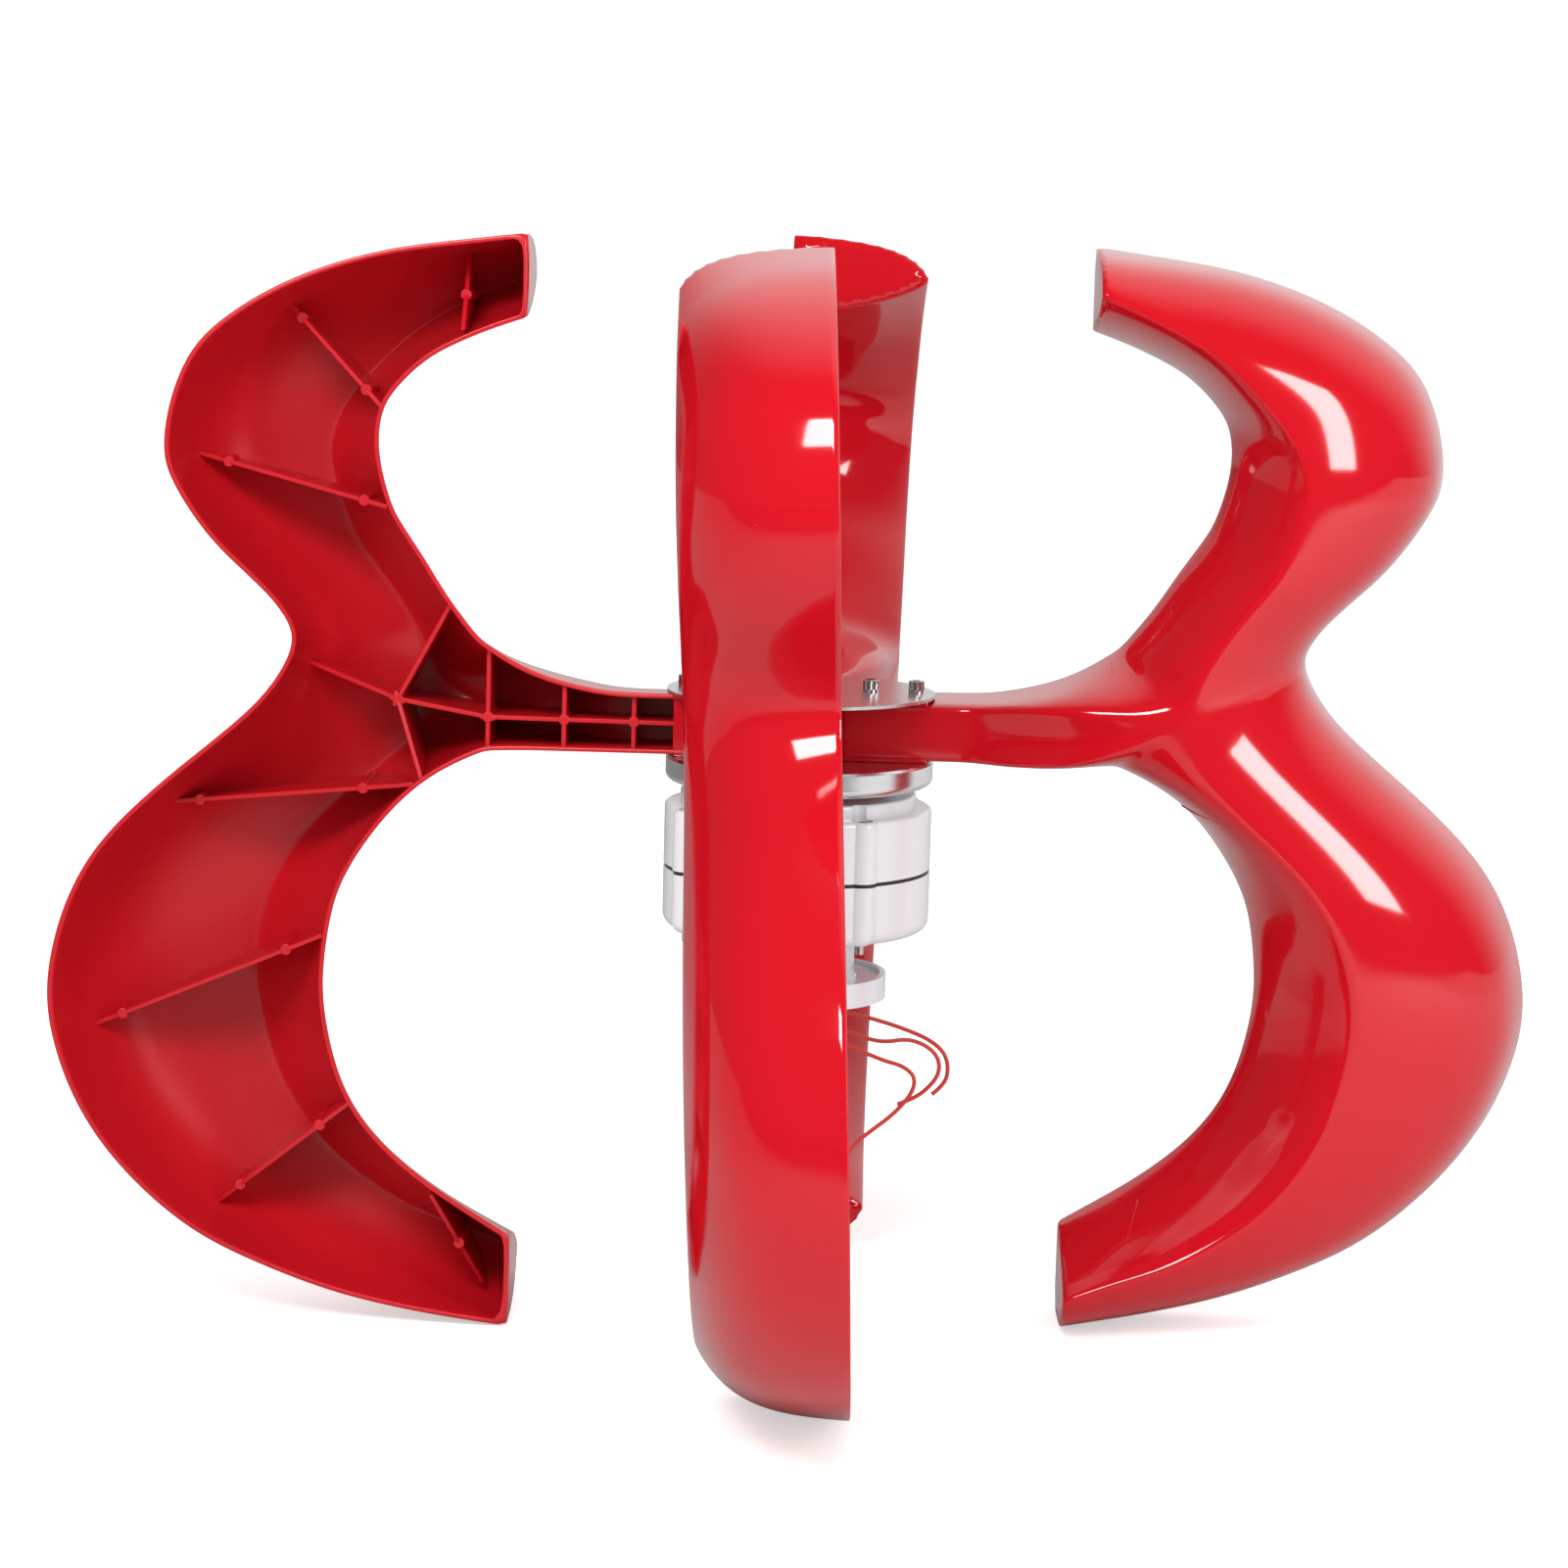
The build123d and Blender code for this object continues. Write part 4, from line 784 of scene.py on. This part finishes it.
# ------------------------------------------------------------------ screws
@dataclass(frozen=True)
class ClampingScrews:
    """The socket-head screws that clamp the blades' roots under the top plate."""

    steel: bpy.types.Material
    radii: Pair = (44.0, 73.0)
    head_radius: float = 5.0
    knurls: int = 36
    knurl_depth: float = 0.035  # this and the next two are shares of the head's radius
    rim_width: float = 0.1
    socket_radius: float = 0.577
    rim_drop: float = 0.07  # this and the next are shares of the head's height
    socket_depth: float = 0.5
    shank_radius: float = 3.0
    shank_sides: int = 32

    def screw(self, height: float, length: float) -> bmesh.types.BMesh:
        """One screw whose head stands on z 0, with its shank below.

        Args:
            height: the head's height in metres.
            length: the shank's length in metres.

        Returns:
            Its mesh.
        """
        bm = bmesh.new()
        radius = self.head_radius * MM
        side = bmesh.ops.create_circle(bm, segments=self.knurls * 2, radius=radius)["verts"]
        for number, vert in enumerate(side):
            if number % 2:
                vert.co *= 1 - self.knurl_depth
        foot = list({edge for vert in side for edge in vert.link_edges})
        bmesh.ops.holes_fill(bm, edges=foot, sides=0)
        bmesh.ops.recalc_face_normals(bm, faces=bm.faces)
        grown = bmesh.ops.extrude_face_region(bm, geom=bm.faces[:], use_keep_orig=True)["geom"]
        top = [item for item in grown if isinstance(item, bmesh.types.BMVert)]
        bmesh.ops.translate(bm, verts=top, vec=(0, 0, height * (1 - self.rim_drop)))
        lid = [item for item in grown if isinstance(item, bmesh.types.BMFace)]
        bmesh.ops.inset_region(bm, faces=lid, thickness=radius * self.rim_width,
                               depth=height * self.rim_drop)
        bmesh.ops.delete(bm, geom=lid, context="FACES_ONLY")
        hexagon = bmesh.ops.create_circle(bm, segments=6,
                                          radius=radius * self.socket_radius)["verts"]
        bmesh.ops.translate(bm, verts=hexagon, vec=(0, 0, height))
        nearly_top = height * 0.999
        ring = [edge for edge in bm.edges if all(vert.co.z > nearly_top for vert in edge.verts)]
        bmesh.ops.bridge_loops(bm, edges=ring)
        mouth = list({edge for vert in hexagon for edge in vert.link_edges
                      if all(end in hexagon for end in edge.verts)})
        sunk = bmesh.ops.extrude_edge_only(bm, edges=mouth)["geom"]
        deep = [item for item in sunk if isinstance(item, bmesh.types.BMVert)]
        bmesh.ops.translate(bm, verts=deep, vec=(0, 0, -height * self.socket_depth))
        bmesh.ops.contextual_create(bm, geom=deep)
        thin = self.shank_radius * MM
        shank = bmesh.ops.create_cone(bm, cap_ends=True, segments=self.shank_sides, radius1=thin,
                                      radius2=thin, depth=length)["verts"]
        bmesh.ops.translate(bm, verts=shank, vec=(0, 0, -length / 2))
        bmesh.ops.recalc_face_normals(bm, faces=bm.faces)
        return bm

    def build(self) -> None:
        """Makes the screws over their washers, as one piece that stands for their CAD node."""
        low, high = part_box("blade_screws")
        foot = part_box("spring_washers")[1][2]
        one = self.screw(high[2] - foot, foot - low[2])
        mesh = bpy.data.meshes.new("screw")
        one.to_mesh(mesh)
        one.free()
        bm = bmesh.new()
        for number in range(BLADES):
            angle = math.tau * number / BLADES
            for radius in self.radii:
                first = len(bm.verts)
                bm.from_mesh(mesh)
                bm.verts.ensure_lookup_table()
                place = (math.cos(angle) * radius * MM, math.sin(angle) * radius * MM, foot)
                bmesh.ops.translate(bm, verts=bm.verts[first:], vec=place)
        bpy.data.meshes.remove(mesh)
        piece = finish_piece(bm, "clamping_screws", (self.steel,), Body.ROTOR,
                             sharp=30)
        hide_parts("blade_screws")


# ------------------------------------------------------------------ leads
@dataclass(frozen=True)
class Lead:
    """One loose lead that hangs from the grommet."""

    name: str
    length: float
    stiffness: str
    lay: str
    route: tuple[Triple, ...]


LEADS = (
    Lead("lead_1", 134.3, "stiff", "loose", (
        (5.2, 3, 0), (8, 3.6, -6), (17, 4.5, -10), (30, 5.5, -12), (44, 6.5, -14.8), (60, 7, -19),
        (74, 7, -23.5), (88, 6.5, -29), (98.5, 5.5, -37), (101.5, 4.5, -48), (99, 3.5, -58),
        (91, 2.5, -64.5),
    )),
    Lead("lead_2", 158.0, "stiff", "loose", (
        (-5.2, 3, 0), (-2, 2.8, -9), (8, 2.2, -17), (22, 1.5, -21.5), (36, 0.8, -24),
        (48, 0.3, -28.6), (60, 0, -30.5), (74, 0, -27.8), (86, -0.2, -31.5), (94.5, -0.4, -39),
        (95.5, -0.8, -50), (88, -1.4, -60), (78.5, -2, -67), (68.9, -2.3, -70.5),
    )),
    Lead("lead_3", 169.0, "stiff", "loose", (
        (0, -6, 0), (3, -6.4, -10), (11, -6.8, -20), (23, -7.2, -27), (36, -7.6, -31.5),
        (48, -8, -36.5), (60, -8.2, -41), (72, -8.4, -44), (80, -8.7, -51), (78, -8.9, -62),
        (66, -9.2, -76), (52, -9.5, -87), (42, -9.7, -95.5), (36, -9.8, -104),
    )),
)


@dataclass
class Leads:
    """The three leads of the generator."""

    material: bpy.types.Material
    diameter: float = 2.7
    steps_round: int = 6  # as Blender counts them, which gives 16 sides
    steps_along: int = 12  # between two points of the route
    order: int = 3

    def build(self) -> None:
        """Makes each lead as a curve along its route."""
        exit_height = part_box("pole_flange")[0][2]
        for lead in LEADS:
            curve = bpy.data.curves.new(f"{lead.name}_sheath", "CURVE")
            curve.dimensions = "3D"
            curve.bevel_depth = self.diameter / 2 * MM
            curve.bevel_resolution = self.steps_round
            curve.resolution_u = self.steps_along
            curve.use_fill_caps = True
            line = curve.splines.new("NURBS")
            line.points.add(len(lead.route) - 1)
            for point, (x, y, z) in zip(line.points, lead.route):
                point.co = (x * MM, y * MM, exit_height + z * MM, 1.0)
            line.order_u = self.order
            line.use_endpoint_u = True
            curve.materials.append(self.material)
            piece = bpy.data.objects.new(f"{lead.name}_sheath", curve)
            bpy.context.scene.collection.objects.link(piece)
            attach(piece, Body.STATOR.value)
            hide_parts(lead.name)
            x, y, z = lead.route[0]


# ------------------------------------------------------------------ stage
@dataclass(frozen=True)
class Softbox:
    """One softbox: where it hangs, the point that it faces, its width, height and power."""

    name: str
    place: Triple
    aim: Triple
    size: Pair
    power: float

    def build(self) -> None:
        """Makes the light."""
        data = bpy.data.lights.new(self.name, "AREA")
        data.shape = "RECTANGLE"
        data.size, data.size_y = self.size
        data.energy = self.power
        lamp = bpy.data.objects.new(self.name, data)
        lamp.location = self.place
        lamp.rotation_mode = "QUATERNION"
        lamp.rotation_quaternion = (Vector(self.aim) - lamp.location).to_track_quat("-Z", "Y")
        bpy.context.scene.collection.objects.link(lamp)


@dataclass(frozen=True)
class Studio:
    """Floor, light and camera.

    Glossy surfaces see a room of their own: dark in front, white up behind to the right, over a
    floor with a painted reflection shade, dark in front and darker at the left than at the right.
    """

    camera_place: Triple = (0.00213, -2.6515, 0.74298)
    yaw: float = -0.248
    pitch: float = 8.451
    roll: float = 1.528
    lens: float = 96.73
    sensor_width: float = 36.0
    clip: Pair = (0.05, 60.0)
    room_fill: float = 0.93  # strength of the light that the rest of the world gives
    room_shades: Pair = (0.06, 1.0)  # the room's strengths in reflections, in front and behind
    room_reach: Pair = (0.35, 0.95)  # along backdrop_way, where they begin
    backdrop_way: Triple = (0.42, 0.66, 0.62)
    # painted reflection shade: glossy rays see the floor darker at the left and, past
    # floor_front, dark in front
    painted_floor_shades: Pair = (0.24, 0.86)  # in reflections, from the left side to the right
    floor_reach: Pair = (-1.0, 2.4)
    floor_way: Triple = (0.2, 0.98, 0.0)
    floor_front: Pair = (-1.5, -0.85)  # along floor_way, before which the floor is dark
    floor_radius: float = 12.0
    floor_sides: int = 96
    floor_drop: float = 0.0005
    floor_colour: float = 0.82
    floor_roughness: float = 0.95
    floor_glow: float = 0.5  # keeps the floor pale to the camera and lights nothing
    boxes: tuple[Softbox, ...] = (
        Softbox("front_box", (-0.6, -2.0, 1.95), (0, 0, 0.4), (1.1, 0.65), 42.0),
        Softbox("right_box", (1.76, -1.6, 1.1), (0, 0, 0.35), (0.36, 1.15), 19.0),
    )

    def camera(self) -> None:
        """Makes the camera."""
        data = bpy.data.cameras.new("camera")
        data.lens = self.lens
        data.sensor_width = self.sensor_width
        data.clip_start, data.clip_end = self.clip
        yaw, pitch, roll = (math.radians(angle) for angle in (self.yaw, self.pitch, self.roll))
        ahead = Vector((math.sin(yaw) * math.cos(pitch), math.cos(yaw) * math.cos(pitch),
                        -math.sin(pitch)))
        level = Vector((math.cos(yaw), -math.sin(yaw), 0.0))
        upright = level.cross(ahead)
        right = level * math.cos(roll) + upright * math.sin(roll)
        above = upright * math.cos(roll) - level * math.sin(roll)
        camera = bpy.data.objects.new("camera", data)
        camera.matrix_world = Matrix((
            (right.x, above.x, -ahead.x, self.camera_place[0]),
            (right.y, above.y, -ahead.y, self.camera_place[1]),
            (right.z, above.z, -ahead.z, self.camera_place[2]),
            (0.0, 0.0, 0.0, 1.0),
        ))
        bpy.context.scene.collection.objects.link(camera)
        bpy.context.scene.camera = camera

    def floor_material(self) -> bpy.types.Material:
        """The pale floor's material, with a painted reflection shade that only glossy surfaces
        see.
        """
        material = bpy.data.materials.new("pale_floor")
        material.use_nodes = True
        tree = material.node_tree
        links = tree.links
        shader = tree.nodes["Principled BSDF"]
        set_inputs(shader, {"Roughness": self.floor_roughness,
                            "Emission Color": (1.0, 1.0, 1.0, 1.0)})
        path = add_node(tree, "LightPath")
        spot = add_node(tree, "TexCoord")
        across = add_node(tree, "SeparateXYZ")
        fade = add_ramp(tree, self.floor_reach, self.painted_floor_shades, "LINEAR")
        ahead = add_node(tree, "VectorMath", {1: self.floor_way}, operation="DOT_PRODUCT")
        edge = add_ramp(tree, self.floor_front, (self.room_shades[0], 1.0))
        # painted reflection shade: the floor's colour for glossy rays only, darker at the left
        # and in front
        painted_shade = add_node(tree, "Math", operation="MULTIPLY")
        shade = add_node(tree, "Mix", {"A": (*(self.floor_colour,) * 3, 1.0)}, data_type="RGBA")
        glow = add_node(tree, "Math", {1: self.floor_glow}, operation="MULTIPLY")
        links.new(spot.outputs["Object"], across.inputs["Vector"])
        links.new(across.outputs["X"], fade.inputs["Value"])
        links.new(spot.outputs["Object"], ahead.inputs[0])
        links.new(ahead.outputs["Value"], edge.inputs["Value"])
        links.new(fade.outputs["Result"], painted_shade.inputs[0])
        links.new(edge.outputs["Result"], painted_shade.inputs[1])
        links.new(painted_shade.outputs["Value"], shade.inputs["B"])
        links.new(path.outputs["Is Glossy Ray"], shade.inputs["Factor"])
        links.new(shade.outputs["Result"], shader.inputs["Base Color"])
        links.new(path.outputs["Is Camera Ray"], glow.inputs[0])
        links.new(glow.outputs["Value"], shader.inputs["Emission Strength"])
        return material

    def floor(self) -> None:
        """Makes a pale floor."""
        bm = bmesh.new()
        bmesh.ops.create_circle(bm, cap_ends=True, segments=self.floor_sides,
                                radius=self.floor_radius)
        mesh = bpy.data.meshes.new("floor")
        bm.to_mesh(mesh)
        bm.free()
        mesh.materials.append(self.floor_material())
        floor = bpy.data.objects.new("floor", mesh)
        bpy.context.scene.collection.objects.link(floor)
        floor.location.z = -self.floor_drop

    def world(self) -> None:
        """Makes even white light all round, and the darker room that glossy surfaces see."""
        world = bpy.data.worlds.new("white_room")
        world.use_nodes = True
        tree = world.node_tree
        links = tree.links
        back = tree.nodes["Background"]
        set_inputs(back, {"Color": (1, 1, 1, 1)})
        place = add_node(tree, "TexCoord")
        facing = add_node(tree, "VectorMath", {1: self.backdrop_way}, operation="DOT_PRODUCT")
        ramp = add_ramp(tree, self.room_reach, self.room_shades)
        path = add_node(tree, "LightPath")
        glossy = add_node(tree, "Mix", {"A": self.room_fill})
        seen = add_node(tree, "Mix", {"B": 1.0})
        links.new(place.outputs["Generated"], facing.inputs[0])
        links.new(facing.outputs["Value"], ramp.inputs["Value"])
        links.new(path.outputs["Is Glossy Ray"], glossy.inputs["Factor"])
        links.new(ramp.outputs["Result"], glossy.inputs["B"])
        links.new(path.outputs["Is Camera Ray"], seen.inputs["Factor"])
        links.new(glossy.outputs["Result"], seen.inputs["A"])
        links.new(seen.outputs["Result"], back.inputs["Strength"])
        bpy.context.scene.world = world
        bpy.context.scene.view_settings.view_transform = "Standard"

    def build(self) -> None:
        """Makes the whole stage."""
        self.camera()
        self.floor()
        self.world()
        for box in self.boxes:
            box.build()


def main() -> None:
    """Dresses the frame."""
    logging.basicConfig(level=logging.INFO, format="%(name)s: %(message)s")
    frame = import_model()
    groups = EffectGroups()
    materials = {finish.name: finish.build(groups) for finish in FINISHES}
    for finish, nodes in CAD_NODES.items():
        for node in nodes:
            mesh = frame["nodes"][node].data
            mesh.materials.clear()
            mesh.materials.append(materials[finish])
    Studio().build()
    Leads(materials["lead_sheath"]).build()
    BladeSet(materials["red_satin"], materials["red_gloss"]).build()
    ClampingScrews(materials["screw_steel"]).build()


if __name__ == "__main__":
    main()
